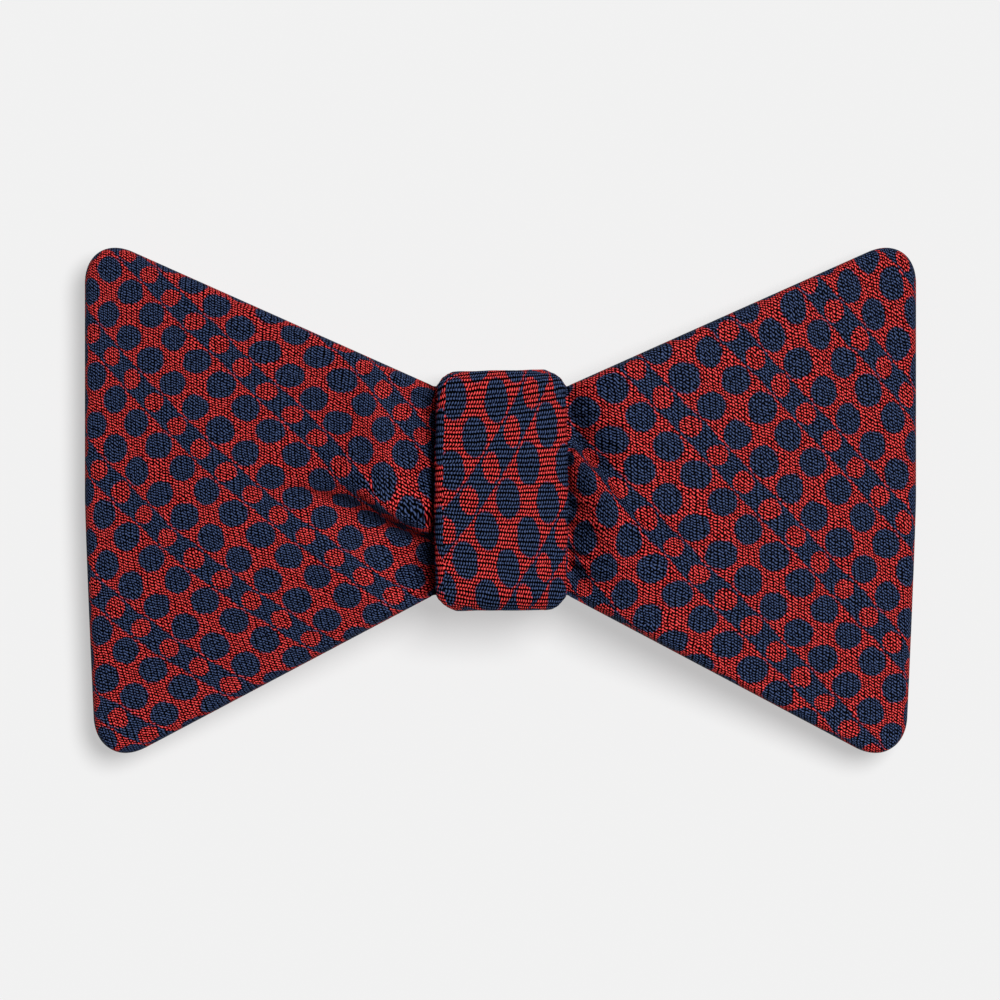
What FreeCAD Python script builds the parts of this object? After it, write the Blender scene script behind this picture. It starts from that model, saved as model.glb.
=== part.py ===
"""Clip-on bow tie: two sewn silk bows gathered at the waist, a silk wrap round the middle and a sprung steel
collar clip at the back.

The frame has +X across the bow, +Y up the bow as worn and +Z out of its front. The tie lies on its back: z is 0
where the clip's two levers lie on the table, and x and y are 0 in the middle of the front bow. Lengths are
millimetres."""

import FreeCAD
import Part

import os

import Sketcher

SIZES = {
    # Front bow, seen from the front.
    "bow_width": 104.7,
    "wing_height": 63.5,
    "wing_corner": 4.2,
    "wing_lean": 1.2,  # the lower corners are this much nearer the middle than the upper ones
    "waist_height": 26.2,
    "waist_rise": 1.25,  # the waist, the wrap and the clip sit this much above the middle of the wings
    "rear_inset": 2.0,  # the rear bow is this much smaller all round, so that it hides behind the front one
    # Cloth, measured through the thickness.
    "silk_size": 0.45,
    "lining_size": 0.7,
    "waist_ply": 1.2,  # one gathered layer inside the wrap
    "wing_drop": 5.2,  # how far a front wing falls from the waist to its tip
    "rear_drop": 5.1,
    "thread_size": 0.4,
    # Wrap round the waist.
    "wrap_width": 16.7,
    "wrap_lining": 1.05,
    "wrap_corner": 2.3,  # corner radius seen from the front
    "wrap_bend": 1.0,  # inside radius where the wrap turns round the waist
    "lining_inset": 0.45,  # the wrap's lining stops this much inside its edges
    # Steel collar clip.
    "clip_length": 47.0,
    "clip_width": 10.4,
    "clip_sheet": 0.7,
    "clip_depth": 5.2,  # from the table to the underside of the base plate
    "clip_corner": 1.0,
    "pivot_reach": 14.5,  # from the middle of the clip to each hinge pin
    "pivot_depth": 2.6,  # from the table to each hinge pin
    "pin_radius": 0.7,
    "pin_head": 1.15,
    "head_size": 0.45,
    "ear_reach": 1.6,
    "side_gap": 0.3,  # between a lever and the ears of the base
    "pin_gap": 0.05,
    "thumb_gap": 0.65,  # between the wrap and the thumb end of a lever
    "flat_reach": 2.5,  # a lever lies flat on the table to this far past its pin
    "jaw_inset": 0.2,  # from the end of the base plate to the tip of a lever
    "tooth_gap": 0.05,
    "tooth_depth": 0.9,
    "tooth_pitch": 1.4,
    "coil_radius": 1.4,
    "wire_size": 0.45,
    # Tacking and label.
    "tack_reach": 10.6,
    "tack_half": 1.5,
    "tack_hole": 0.5,
    "stitch_size": 0.4,
    "stitch_length": 2.4,
    "label_width": 10.0,
    "label_height": 6.0,
    "label_size": 0.3,
    "label_drop": 9.5,  # from the middle of the waist down to the middle of the label
}
SIDES = {"left": -1, "right": 1}
STITCHES = 6
TEETH = 6
COILS = 6
THREAD_TURNS = 5

doc = FreeCAD.newDocument("BowTie")
sheet = doc.addObject("Spreadsheet::Sheet", "Sizes")
for row, (alias, size) in enumerate(SIZES.items(), start=1):
    sheet.set(f"A{row}", alias)
    sheet.set(f"B{row}", str(size))
    sheet.setAlias(f"B{row}", alias)
doc.recompute()


def size(text):
    """The expression with each alias named in full."""
    out = text
    for alias in sorted(SIZES, key=len, reverse=True):
        out = out.replace(alias, f"<<Sizes>>.{alias}")
    return f"({out})"


# Heights above the table, from the clip up to the front of the wrap.
BASE_BACK = size("clip_depth")
BASE_FRONT = size("clip_depth + clip_sheet")
REAR_BACK = size("clip_depth + clip_sheet + thread_size")
FRONT_BACK = size("clip_depth + clip_sheet + thread_size + 3 * waist_ply")
FRONT_FACE = size("clip_depth + clip_sheet + thread_size + 6 * waist_ply")
CAVITY_FRONT = size("clip_depth + clip_sheet + 2 * thread_size + 6 * waist_ply")
WRAP_HALF = size("wrap_width / 2")
WING_PLY = size("2 * silk_size + lining_size")
FRONT_TIP = size("bow_width / 2")
REAR_TIP = size("bow_width / 2 - rear_inset")
CLIP_END = size("clip_length / 2 + 1")  # the rear wings stay level to just past the clip
PIVOT = size("pivot_reach")
JAW_TIP = size("clip_length / 2 - jaw_inset")
LEVER_HALF = size("clip_width / 2 - clip_sheet - side_gap")
RISE = size("waist_rise")


def value(expression):
    """The number that an expression stands for now."""
    return float(sheet.evalExpression(expression))


def plane_of(body, role):
    return next(f for f in body.Origin.OriginFeatures if f.Role == role)


def new_body(name):
    return doc.addObject("PartDesign::Body", name)


def new_sketch(body, role, offset="0"):
    """A sketch on one of the body's origin planes, moved by the offset along the plane's normal."""
    sketch = body.newObject("Sketcher::SketchObject", "Sketch")
    sketch.AttachmentSupport = [(plane_of(body, role), "")]
    sketch.MapMode = "FlatFace"
    sketch.setExpression("AttachmentOffset.Base.z", offset)
    return sketch


def place_point(sketch, geometry, position, across, up):
    """Holds a point of the sketch at two expressions."""
    for kind, expression in (("DistanceX", across), ("DistanceY", up)):
        number = sketch.addConstraint(
            Sketcher.Constraint(kind, -1, 1, geometry, position, value(expression))
        )
        sketch.setExpression(f"Constraints[{number}]", expression)


def add_polygon(sketch, points):
    """A closed polygon through points, each a pair of expressions."""
    first = sketch.GeometryCount
    spots = [FreeCAD.Vector(value(a), value(b), 0) for a, b in points]
    for i, spot in enumerate(spots):
        sketch.addGeometry(Part.LineSegment(spot, spots[(i + 1) % len(spots)]))
    for i in range(len(points)):
        following = first + (i + 1) % len(points)
        sketch.addConstraint(Sketcher.Constraint("Coincident", first + i, 2, following, 1))
    for i, (across, up) in enumerate(points):
        place_point(sketch, first + i, 1, across, up)


def add_circle(sketch, across, up, radius):
    spot = FreeCAD.Vector(value(across), value(up), 0)
    number = sketch.addGeometry(Part.Circle(spot, FreeCAD.Vector(0, 0, 1), value(radius)))
    place_point(sketch, number, 3, across, up)
    held = sketch.addConstraint(Sketcher.Constraint("Radius", number, value(radius)))
    sketch.setExpression(f"Constraints[{held}]", radius)


def add_feature(body, kind, sketch, length, both_ways=True, backwards=False):
    """A Pad or a Pocket of the sketch: centred on its plane, or one way from it."""
    feature = body.newObject(f"PartDesign::{kind}", kind)
    feature.Profile = sketch
    feature.setExpression("Length", length)
    feature.SideType = "Symmetric" if both_ways else "One side"
    feature.Reversed = backwards
    doc.recompute()
    return feature


def round_edges(body, feature, direction, radius, keep=lambda middle: True):
    """Fillets the feature's straight edges that run in the direction and whose middle the test keeps."""
    names = []
    for number, edge in enumerate(feature.Shape.Edges, start=1):
        straight = isinstance(edge.Curve, (Part.Line, Part.LineSegment))
        along = straight and abs(edge.tangentAt(edge.FirstParameter).dot(direction)) > 0.999
        if along and keep(edge.CenterOfMass):
            names.append(f"Edge{number}")
    fillet = body.newObject("PartDesign::Fillet", "Fillet")
    fillet.Base = (feature, names)
    fillet.setExpression("Radius", radius)
    doc.recompute()
    return fillet


def boolean(kind, name, base, tool):
    made = doc.addObject(f"Part::{kind}", name)
    made.Base = base
    made.Tool = tool
    return made


def group(name, pieces):
    made = doc.addObject("Part::Compound", name)
    made.Links = pieces
    return made


def cylinder(name, radius, height, place, turn=None):
    """A cylinder from the place, three expressions, along +Z turned by an (axis, degrees) pair."""
    made = doc.addObject("Part::Cylinder", name)
    made.setExpression("Radius", radius)
    made.setExpression("Height", height)
    if turn:
        made.Placement = FreeCAD.Placement(FreeCAD.Vector(), FreeCAD.Rotation(*turn))
    for axis, expression in zip("xyz", place):
        made.setExpression(f"Placement.Base.{axis}", expression)
    return made


ALONG_X = FreeCAD.Vector(1, 0, 0)
ALONG_Y = FreeCAD.Vector(0, 1, 0)
ALONG_Z = FreeCAD.Vector(0, 0, 1)


def bow_outline(name, inset):
    """The outline of one bow as a tall prism: two wings with round corners, joined by a straight waist.

    Each corner is a circle that touches the bow's outside box, and the long edges run from the waist to touch it."""
    tip = size(f"bow_width / 2 - {inset}")
    top = size(f"wing_height / 2 - {inset}")
    radius = size("wing_corner")
    waist = {1: size("waist_rise + waist_height / 2"), -1: size("waist_rise - waist_height / 2")}
    body = new_body(name)
    sketch = new_sketch(body, "XY_Plane")

    def spot(across, up):
        return FreeCAD.Vector(value(across), value(up), 0)

    ends = {}
    for sx in (1, -1):
        middle = spot(f"{sx} * {tip}", "0")
        for sy in (1, -1):
            lean = size("wing_lean") if sy < 0 else "0"
            across, up = f"{sx} * ({tip} - {lean} - {radius})", f"{sy} * ({top} - {radius})"
            centre, r = spot(across, up), value(radius)
            corner = spot(f"{sx} * {WRAP_HALF}", waist[sy])
            slope = (centre - corner).normalize()
            out_edge = centre + FreeCAD.Vector(sx * r, 0, 0)
            out_long = centre + FreeCAD.Vector(-sy * sx * slope.y * sx * r * sy, sy * abs(slope.x) * r, 0)
            start, end = (out_edge, out_long) if sx * sy > 0 else (out_long, out_edge)
            turn = [FreeCAD.Vector(1, 0, 0).getAngle(v - centre) for v in (start, end)]
            turn = [a if (v - centre).y >= 0 else -a for a, v in zip(turn, (start, end))]
            arc = sketch.addGeometry(Part.ArcOfCircle(Part.Circle(centre, ALONG_Z, r), *turn))
            edge_end, long_end = (1, 2) if sx * sy > 0 else (2, 1)
            long = sketch.addGeometry(Part.LineSegment(corner, out_long))
            edge = sketch.addGeometry(Part.LineSegment(middle, out_edge))
            place_point(sketch, arc, 3, across, up)
            held = sketch.addConstraint(Sketcher.Constraint("Radius", arc, r))
            sketch.setExpression(f"Constraints[{held}]", radius)
            sketch.addConstraint(Sketcher.Constraint("Tangent", long, 2, arc, long_end))
            sketch.addConstraint(Sketcher.Constraint("Tangent", edge, 2, arc, edge_end))
            place_point(sketch, long, 1, f"{sx} * {WRAP_HALF}", waist[sy])
            ends[sx, sy] = long, edge
        place_point(sketch, ends[sx, 1][1], 1, f"{sx} * {tip}", "0")
        sketch.addConstraint(Sketcher.Constraint("Coincident", ends[sx, 1][1], 1, ends[sx, -1][1], 1))
    for sy in (1, -1):
        corners = [spot(f"{sx} * {WRAP_HALF}", waist[sy]) for sx in (1, -1)]
        across = sketch.addGeometry(Part.LineSegment(*corners))
        sketch.addConstraint(Sketcher.Constraint("Coincident", across, 1, ends[1, sy][0], 1))
        sketch.addConstraint(Sketcher.Constraint("Coincident", across, 2, ends[-1, sy][0], 1))
    add_feature(body, "Pad", sketch, CAVITY_FRONT, both_ways=False)
    return body


def bow_layer(name, outline, lower, upper):
    """One layer of a bow: the outline between two profiles, each a list of (x, z) expressions from the middle
    of the waist out to the wing's tip."""
    body = new_body(name + "_profile")
    sketch = new_sketch(body, "XZ_Plane")
    loop = [*lower, *reversed(upper)]
    mirrored = [(f"-({x})", z) for x, z in reversed(loop)]
    add_polygon(sketch, [*loop, *mirrored])
    add_feature(body, "Pad", sketch, size("2 * wing_height"))
    return boolean("Common", name, outline, body)


def front_level(ply, share):
    """The profile under layer number ply of the front bow, from the waist to the tip."""
    waist = f"{FRONT_BACK} + {ply} * {size('waist_ply')}"
    tip = f"{FRONT_BACK} - {size('wing_drop')} + {share}"
    return [(WRAP_HALF, waist), (FRONT_TIP, tip)]


def rear_level(ply, share):
    """The same for the rear bow, whose wings stay level over the clip before they fall."""
    waist = f"{REAR_BACK} + {ply} * {size('waist_ply')}"
    level = f"{REAR_BACK} + {share}"
    tip = f"{REAR_BACK} - {size('rear_drop')} + {share}"
    return [(WRAP_HALF, waist), (CLIP_END, level), (REAR_TIP, tip)]


def bows():
    """Both bows, each a back, an interlining and a face."""
    shares = ["0", size("silk_size"), size("silk_size + lining_size"), WING_PLY]
    made = []
    for bow, inset, level in (("front", "0", front_level), ("rear", "rear_inset", rear_level)):
        outline = bow_outline(f"{bow}_outline", inset)
        for ply, layer in enumerate(("back", "interlining", "face")):
            lower = level(ply, shares[ply])
            upper = level(ply + 1, shares[ply + 1])
            made.append(bow_layer(f"{bow}_bow_{layer}", outline, lower, upper))
    return made


def wrap_block(name, grow, width, bend):
    """A block round the gathered waist, grown on every side, with its long corners rounded."""
    half = size("waist_height / 2 + thread_size")
    body = new_body(name)
    sketch = new_sketch(body, "YZ_Plane")
    low, high = f"{BASE_BACK} - ({grow})", f"{CAVITY_FRONT} + {grow}"
    left, right = f"{RISE} - {half} - ({grow})", f"{RISE} + {half} + {grow}"
    add_polygon(sketch, [(left, low), (right, low), (right, high), (left, high)])
    pad = add_feature(body, "Pad", sketch, width)
    round_edges(body, pad, ALONG_X, bend)
    return body


def front_window(name, grow, width, corner):
    """A tall prism whose rounded outline gives the wrap its corners in front view."""
    half = size("waist_height / 2 + thread_size")
    body = new_body(name)
    sketch = new_sketch(body, "XY_Plane")
    edge, low, high = f"{width} / 2", f"{RISE} - {half} - ({grow})", f"{RISE} + {half} + {grow}"
    add_polygon(sketch, [(f"-{edge}", low), (edge, low), (edge, high), (f"-{edge}", high)])
    pad = add_feature(body, "Pad", sketch, f"2 * {CAVITY_FRONT}", both_ways=False)
    round_edges(body, pad, ALONG_Z, corner)
    return body


def ring_of(name, outer, inner, window):
    return boolean("Common", name, boolean("Cut", name + "_ring", outer, inner), window)


def wrap():
    """The silk wrap, the lining inside it, and the thread that gathers the waist."""
    silk = size("wrap_lining + silk_size")
    width, lining_width = size("wrap_width"), size("wrap_width - 2 * lining_inset")
    through = size("2 * wrap_width")
    outside = wrap_block("wrap_outside", silk, width, size("wrap_bend + wrap_lining + silk_size"))
    middle = wrap_block("wrap_middle", size("wrap_lining"), through, size("wrap_bend + wrap_lining"))
    filler = wrap_block("wrap_filler", size("wrap_lining"), lining_width, size("wrap_bend + wrap_lining"))
    cavity = wrap_block("wrap_cavity", "0", through, size("wrap_bend"))
    window = front_window("wrap_window", silk, width, size("wrap_corner"))
    filler_window = front_window("filler_window", size("wrap_lining"), lining_width, size("wrap_corner"))
    return [
        ring_of("knot_wrap", outside, middle, window),
        ring_of("knot_interlining", filler, cavity, filler_window),
        gather_thread(),
    ]


def gather_thread():
    """Turns of thread wound tight round the waist, side by side."""
    turns = []
    half = size("waist_height / 2")
    for i in range(THREAD_TURNS):
        offset = f"{i - (THREAD_TURNS - 1) / 2} * 1.5 * {size('thread_size')}"
        blocks = []
        for part, grow in (("outside", size("thread_size")), ("inside", "0")):
            body = new_body(f"thread_{part}")
            sketch = new_sketch(body, "YZ_Plane", offset)
            left, right = f"{RISE} - {half} - {grow}", f"{RISE} + {half} + {grow}"
            low, high = f"{REAR_BACK} - {grow}", f"{FRONT_FACE} + {grow}"
            add_polygon(sketch, [(left, low), (right, low), (right, high), (left, high)])
            pad = add_feature(body, "Pad", sketch, size("thread_size"))
            if part == "outside":
                round_edges(body, pad, ALONG_X, size("wrap_bend"))
            blocks.append(body)
        turns.append(boolean("Cut", "thread_turn", *blocks))
    return group("gather_thread", turns)


def knot_stitches():
    """Slanting stitches that close the wrap at the back, across its seam."""
    pieces = []
    depth = f"{BASE_BACK} - {size('wrap_lining + silk_size')} - {size('stitch_size / 2')}"
    slant = (ALONG_X, -90), (ALONG_Z, 20)
    turn = FreeCAD.Rotation(*slant[1]).multiply(FreeCAD.Rotation(*slant[0]))
    for i in range(STITCHES):
        across = f"({i - (STITCHES - 1) / 2}) * {size('wrap_width')} / {STITCHES + 1}"
        low = f"{RISE} - {size('stitch_length / 2')}"
        stitch = cylinder(
            "stitch", size("stitch_size / 2"), size("stitch_length"), (across, low, depth), (turn.Axis, 20)
        )
        stitch.Placement.Rotation = turn
        pieces.append(stitch)
    return group("knot_stitches", pieces)


def clip_base():
    """The base plate with two pairs of ears turned down for the pins, and holes for the tacking thread."""
    body = new_body("clip_base")
    half_length, half_width = size("clip_length / 2"), size("clip_width / 2")
    low, high = f"{RISE} - {half_width}", f"{RISE} + {half_width}"
    plate = new_sketch(body, "XY_Plane", BASE_BACK)
    outline = [(f"-{half_length}", low), (half_length, low), (half_length, high), (f"-{half_length}", high)]
    add_polygon(plate, outline)
    pad = add_feature(body, "Pad", plate, size("clip_sheet"), both_ways=False)
    round_edges(body, pad, ALONG_Z, size("clip_corner"))

    ears = new_sketch(body, "XZ_Plane", f"-{RISE}")
    for sign in SIDES.values():
        inner, outer = size("pivot_reach - ear_reach"), size("pivot_reach + ear_reach")
        foot, root = size("pivot_depth - ear_reach"), size("clip_depth + clip_sheet / 2")
        corners = [(inner, foot), (outer, foot), (outer, root), (inner, root)]
        add_polygon(ears, [(f"{sign} * {x}", z) for x, z in corners])
    ear_pad = add_feature(body, "Pad", ears, size("clip_width"))
    gap = new_sketch(body, "XZ_Plane", f"-{RISE}")
    for sign in SIDES.values():
        inner, outer = size("pivot_reach - 2 * ear_reach"), size("pivot_reach + 2 * ear_reach")
        corners = [(inner, "0"), (outer, "0"), (outer, BASE_BACK), (inner, BASE_BACK)]
        add_polygon(gap, [(f"{sign} * {x}", z) for x, z in corners])
    between = add_feature(body, "Pocket", gap, size("clip_width - 2 * clip_sheet"))
    foot_height = value(size("pivot_depth - ear_reach")) + 0.01
    rounded = round_edges(
        body, between, ALONG_Y, size("ear_reach * 0.98"), lambda middle: middle.z < foot_height
    )

    holes = new_sketch(body, "XZ_Plane", f"-{RISE}")
    for sign in SIDES.values():
        add_circle(holes, f"{sign} * {PIVOT}", size("pivot_depth"), size("pin_radius"))
    add_feature(body, "Pocket", holes, size("2 * clip_width"))
    tacks = new_sketch(body, "XY_Plane", BASE_BACK)
    for sign in SIDES.values():
        for side in SIDES.values():
            across, up = f"{sign} * {size('tack_reach')}", f"{RISE} + {side} * {size('tack_half')}"
            add_circle(tacks, across, up, size("tack_hole"))
    add_feature(body, "Pocket", tacks, size("4 * clip_sheet"))
    return body


def clip_jaw(name, sign):
    """A lever: flat on the table under its pin, rising to a toothed tip that bites against the base plate."""
    body = new_body(name)
    thumb = f"{WRAP_HALF} + {size('thumb_gap')}"
    bend = f"{PIVOT} + {size('flat_reach')}"
    sheet_size = size("clip_sheet")
    bite = size("clip_depth - tooth_gap")
    shoulder = f"{bite} - 2 * {size('tooth_depth')}"
    slope = f"({shoulder}) / ({JAW_TIP} - ({bend}))"
    flange = f"{JAW_TIP} - {sheet_size}"
    profile = [
        (thumb, "0"),
        (bend, "0"),
        (JAW_TIP, shoulder),
        (JAW_TIP, bite),
        (flange, bite),
        (flange, f"{slope} * ({flange} - ({bend})) + {sheet_size}"),
        (bend, sheet_size),
        (thumb, sheet_size),
    ]
    sketch = new_sketch(body, "XZ_Plane", f"-{RISE}")
    add_polygon(sketch, [(f"{sign} * ({x})", z) for x, z in profile])
    pad = add_feature(body, "Pad", sketch, f"2 * {LEVER_HALF}")
    thumb_end = value(thumb)
    rounded = round_edges(
        body, pad, ALONG_Z, size("2 * clip_corner"), lambda middle: abs(abs(middle.x) - thumb_end) < 0.01
    )

    cheeks = new_sketch(body, "XZ_Plane", f"-{RISE}")
    cheek = size("ear_reach - 0.1")
    top = f"{size('pivot_depth')} + {cheek}"
    inner, outer = f"{PIVOT} - {cheek}", f"{PIVOT} + {cheek}"
    corners = [(inner, f"{sheet_size} / 2"), (outer, f"{sheet_size} / 2"), (outer, top), (inner, top)]
    add_polygon(cheeks, [(f"{sign} * ({x})", z) for x, z in corners])
    add_feature(body, "Pad", cheeks, f"2 * {LEVER_HALF}")
    hollow = new_sketch(body, "XZ_Plane", f"-{RISE}")
    reach = size("2 * ear_reach")
    walls = [(f"{PIVOT} - {reach}", sheet_size), (f"{PIVOT} + {size('flat_reach')}", sheet_size)]
    walls += [(f"{PIVOT} + {size('flat_reach')}", BASE_BACK), (f"{PIVOT} - {reach}", BASE_BACK)]
    add_polygon(hollow, [(f"{sign} * ({x})", z) for x, z in walls])
    open_top = add_feature(body, "Pocket", hollow, f"2 * ({LEVER_HALF} - {sheet_size})")
    cheek_top = value(top)
    rounded = round_edges(
        body, open_top, ALONG_Y, f"{cheek} * 0.98", lambda middle: abs(middle.z - cheek_top) < 0.01
    )

    hole = new_sketch(body, "XZ_Plane", f"-{RISE}")
    add_circle(hole, f"{sign} * {PIVOT}", size("pivot_depth"), size("pin_radius + pin_gap"))
    add_feature(body, "Pocket", hole, size("2 * clip_width"))
    teeth = new_sketch(body, "YZ_Plane")
    for i in range(TEETH - 1):
        middle = f"{RISE} + {i - (TEETH - 2) / 2} * {size('tooth_pitch')}"
        half = size("tooth_pitch * 0.4")
        root = f"{bite} - {size('tooth_depth')}"
        above = f"{bite} + {size('tooth_gap')}"
        notch = [(middle, root), (f"{middle} + {half}", bite), (f"{middle} + {half}", above)]
        notch += [(f"{middle} - {half}", above), (f"{middle} - {half}", bite)]
        add_polygon(teeth, notch)
    add_feature(body, "Pocket", teeth, size("2 * clip_length"))
    return body


def hinge_pin(name, sign):
    """A pin through the ears, headed over at both ends."""
    turn = (ALONG_X, -90)
    across, depth = f"{sign} * {PIVOT}", size("pivot_depth")
    half, head = size("clip_width / 2"), size("head_size")
    shank = cylinder(
        "shank", size("pin_radius"), size("clip_width"), (across, f"{RISE} - {half}", depth), turn
    )
    heads = [
        cylinder("head", size("pin_head"), head, (across, start, depth), turn)
        for start in (f"{RISE} - {half} - {head}", f"{RISE} + {half}")
    ]
    made = doc.addObject("Part::MultiFuse", name)
    made.Shapes = [shank, *heads]
    return made


def spring(name, sign):
    """A torsion spring round the pin: one leg presses on the base plate and the other on the lever's thumb end."""
    wire = size("wire_size / 2")
    pieces = []
    for i in range(COILS):
        coil = doc.addObject("Part::Torus", "coil")
        coil.setExpression("Radius1", size("coil_radius"))
        coil.setExpression("Radius2", wire)
        coil.Placement = FreeCAD.Placement(FreeCAD.Vector(), FreeCAD.Rotation(ALONG_X, 90))
        coil.setExpression("Placement.Base.x", f"{sign} * {PIVOT}")
        along = f"{RISE} + {i - (COILS - 1) / 2} * {size('wire_size * 0.9')}"
        coil.setExpression("Placement.Base.y", along)
        coil.setExpression("Placement.Base.z", size("pivot_depth"))
        pieces.append(coil)
    reach = value(size("pivot_reach - tack_reach - 2 * tack_hole"))
    rest = {
        1: value(size("clip_depth - wire_size / 2 - tooth_gap")),
        -1: value(size("clip_sheet + wire_size / 2 + tooth_gap")),
    }
    pivot, depth = value(PIVOT), value(size("pivot_depth"))
    for end, level in rest.items():
        along = value(f"{RISE} + {end} * {(COILS - 1) / 2} * {size('wire_size * 0.9')}")
        start = FreeCAD.Vector(sign * pivot, along, depth + end * value(size("coil_radius")))
        leg = FreeCAD.Vector(sign * (pivot - reach), along, level) - start
        made = doc.addObject("Part::Feature", "leg")
        made.Shape = Part.makeCylinder(value(wire), leg.Length, start, leg)
        pieces.append(made)
    made = doc.addObject("Part::MultiFuse", name)
    made.Shapes = pieces
    return made


def clip_tack_thread():
    """A thread staple at each side of the wrap: through two holes in the base plate and into the rear bow."""
    staples = []
    radius = size("tack_hole / 2")
    under = f"{BASE_BACK} - {radius}"
    for sign in SIDES.values():
        across = f"{sign} * {size('tack_reach')}"
        ends = [f"{RISE} - {size('tack_half')}", f"{RISE} + {size('tack_half')}"]
        pieces = [
            cylinder("tack_leg", f"0.9 * {radius}", f"{REAR_BACK} - ({under})", (across, end, under)) for end in ends
        ]
        start = f"{ends[0]} - {radius}"
        length = size("2 * tack_half + tack_hole")
        pieces.append(cylinder("tack_bar", radius, length, (across, start, under), (ALONG_X, -90)))
        staple = doc.addObject("Part::MultiFuse", "staple")
        staple.Shapes = pieces
        staples.append(staple)
    return group("clip_tack_thread", staples)


def care_label():
    """A small blank satin tab on the back of the rear bow beside the wrap, and a stitch at each end of it."""
    body = new_body("care_label")
    sketch = new_sketch(body, "XY_Plane", f"{REAR_BACK} - {size('label_size')}")
    left = f"{WRAP_HALF} + {size('thumb_gap')}"
    right = f"{left} + {size('label_width')}"
    low = f"{RISE} - {size('label_drop')} - {size('label_height / 2')}"
    high = f"{low} + {size('label_height')}"
    add_polygon(sketch, [(left, low), (right, low), (right, high), (left, high)])
    add_feature(body, "Pad", sketch, size("label_size"), both_ways=False)
    radius = size("stitch_size / 2")
    depth = f"{REAR_BACK} - {size('label_size')} - {radius}"
    stitches = [
        cylinder(
            "label_stitch", radius, size("stitch_length"), (across, f"{low} + {size('label_height')} / 3", depth),
            (ALONG_X, -90),
        )
        for across in (f"{left} + {size('stitch_size * 2')}", f"{right} - {size('stitch_size * 2')}")
    ]
    return [body, group("label_stitches", stitches)]


def export(pieces):
    """Checks every object, then writes each sub-part to a file of its own."""
    doc.recompute()
    for made in doc.Objects:
        if {"Invalid", "Error"} & set(made.State):
            raise RuntimeError(f"{made.Name} ({made.Label}) didn't build: {made.State}")
    for piece in pieces:
        if piece.Shape.isNull() or not piece.Shape.isValid() or piece.Shape.Volume <= 0:
            raise RuntimeError(f"{piece.Label} has no valid shape")
    os.makedirs("parts", exist_ok=True)
    for piece in pieces:
        piece.Shape.exportStep(f"parts/{piece.Label}.step")
        box = piece.Shape.BoundBox
        print(f"{piece.Label:22s} {len(piece.Shape.Solids):2d} solids {piece.Shape.Volume:9.2f} mm3 "
              f"z {box.ZMin:6.2f} to {box.ZMax:6.2f}")


pieces = [*bows(), *wrap(), knot_stitches(), clip_base(), clip_tack_thread(), *care_label()]
for side, sign in SIDES.items():
    pieces.append(clip_jaw(f"clip_jaw_{side}", sign))
    pieces.append(hinge_pin(f"hinge_pin_{side}", sign))
    pieces.append(spring(f"spring_{side}", sign))
export(pieces)
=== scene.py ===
"""The looks of a ready-tied clip-on bow tie: patterned woven silk gathered under a wrap, on a sprung steel clip.

The frame throughout: +X across the bow, +Y up it, +Z out of its front. The tie lies on its back on a
pale table. Shapes are worked out in millimetres and written in metres."""

import math

import bpy
import numpy as np
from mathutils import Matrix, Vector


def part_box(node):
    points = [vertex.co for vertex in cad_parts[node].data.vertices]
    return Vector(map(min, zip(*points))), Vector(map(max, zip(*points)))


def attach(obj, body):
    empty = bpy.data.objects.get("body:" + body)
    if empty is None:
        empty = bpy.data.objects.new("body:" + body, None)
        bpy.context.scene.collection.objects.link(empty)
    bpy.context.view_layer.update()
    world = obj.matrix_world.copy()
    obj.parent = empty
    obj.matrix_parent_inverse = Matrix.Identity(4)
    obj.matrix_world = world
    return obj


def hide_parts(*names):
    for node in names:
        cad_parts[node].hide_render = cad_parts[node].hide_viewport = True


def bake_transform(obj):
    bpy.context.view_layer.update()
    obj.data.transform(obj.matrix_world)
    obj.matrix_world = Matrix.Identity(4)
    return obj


bl_info = {
    "name": "Bow tie",
    "version": (1, 0, 0),
    "blender": (4, 5, 0),
    "location": "View3D > Sidebar > Bow Tie",
    "description": "Makes a silk bow tie's bows, wrap, threads, label and springs round its steel clip",
    "category": "Add Mesh",
}

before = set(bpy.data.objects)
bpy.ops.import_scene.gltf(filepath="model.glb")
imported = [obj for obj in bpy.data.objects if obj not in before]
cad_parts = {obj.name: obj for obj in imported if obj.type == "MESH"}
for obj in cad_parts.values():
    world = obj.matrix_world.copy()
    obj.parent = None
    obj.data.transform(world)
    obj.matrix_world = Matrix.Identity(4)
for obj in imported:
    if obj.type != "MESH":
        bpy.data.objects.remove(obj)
MM = 0.001
CLOTH_UV = "cloth"
SENSOR = 36  # width of the camera's film, in millimetres
SIDES = {"left": -1, "right": 1}


def node_box(node):
    """A CAD node's low and high corners, in millimetres."""
    low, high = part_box(node)
    return np.array(low) / MM, np.array(high) / MM


FRONT_BOX = node_box("front_bow_face")
BACK_BOX = node_box("front_bow_back")
REAR_BOX = node_box("rear_bow_back")
WRAP_BOX = node_box("knot_wrap")
THREAD_BOX = node_box("gather_thread")


def length(name, description, default, **more):
    """A length in metres, shown in the scene's units."""
    return bpy.props.FloatProperty(
        name=name, description=description, default=default * MM, subtype="DISTANCE", unit="LENGTH", **more
    )


def colour(name, description, default):
    """A colour that a user may change."""
    return bpy.props.FloatVectorProperty(
        name=name, description=description, default=default, subtype="COLOR", size=3, min=0, max=1
    )


def share(name, description, default, low=0.0, high=1.0):
    """A plain number between two limits."""
    return bpy.props.FloatProperty(name=name, description=description, default=default, min=low, max=high)


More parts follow.
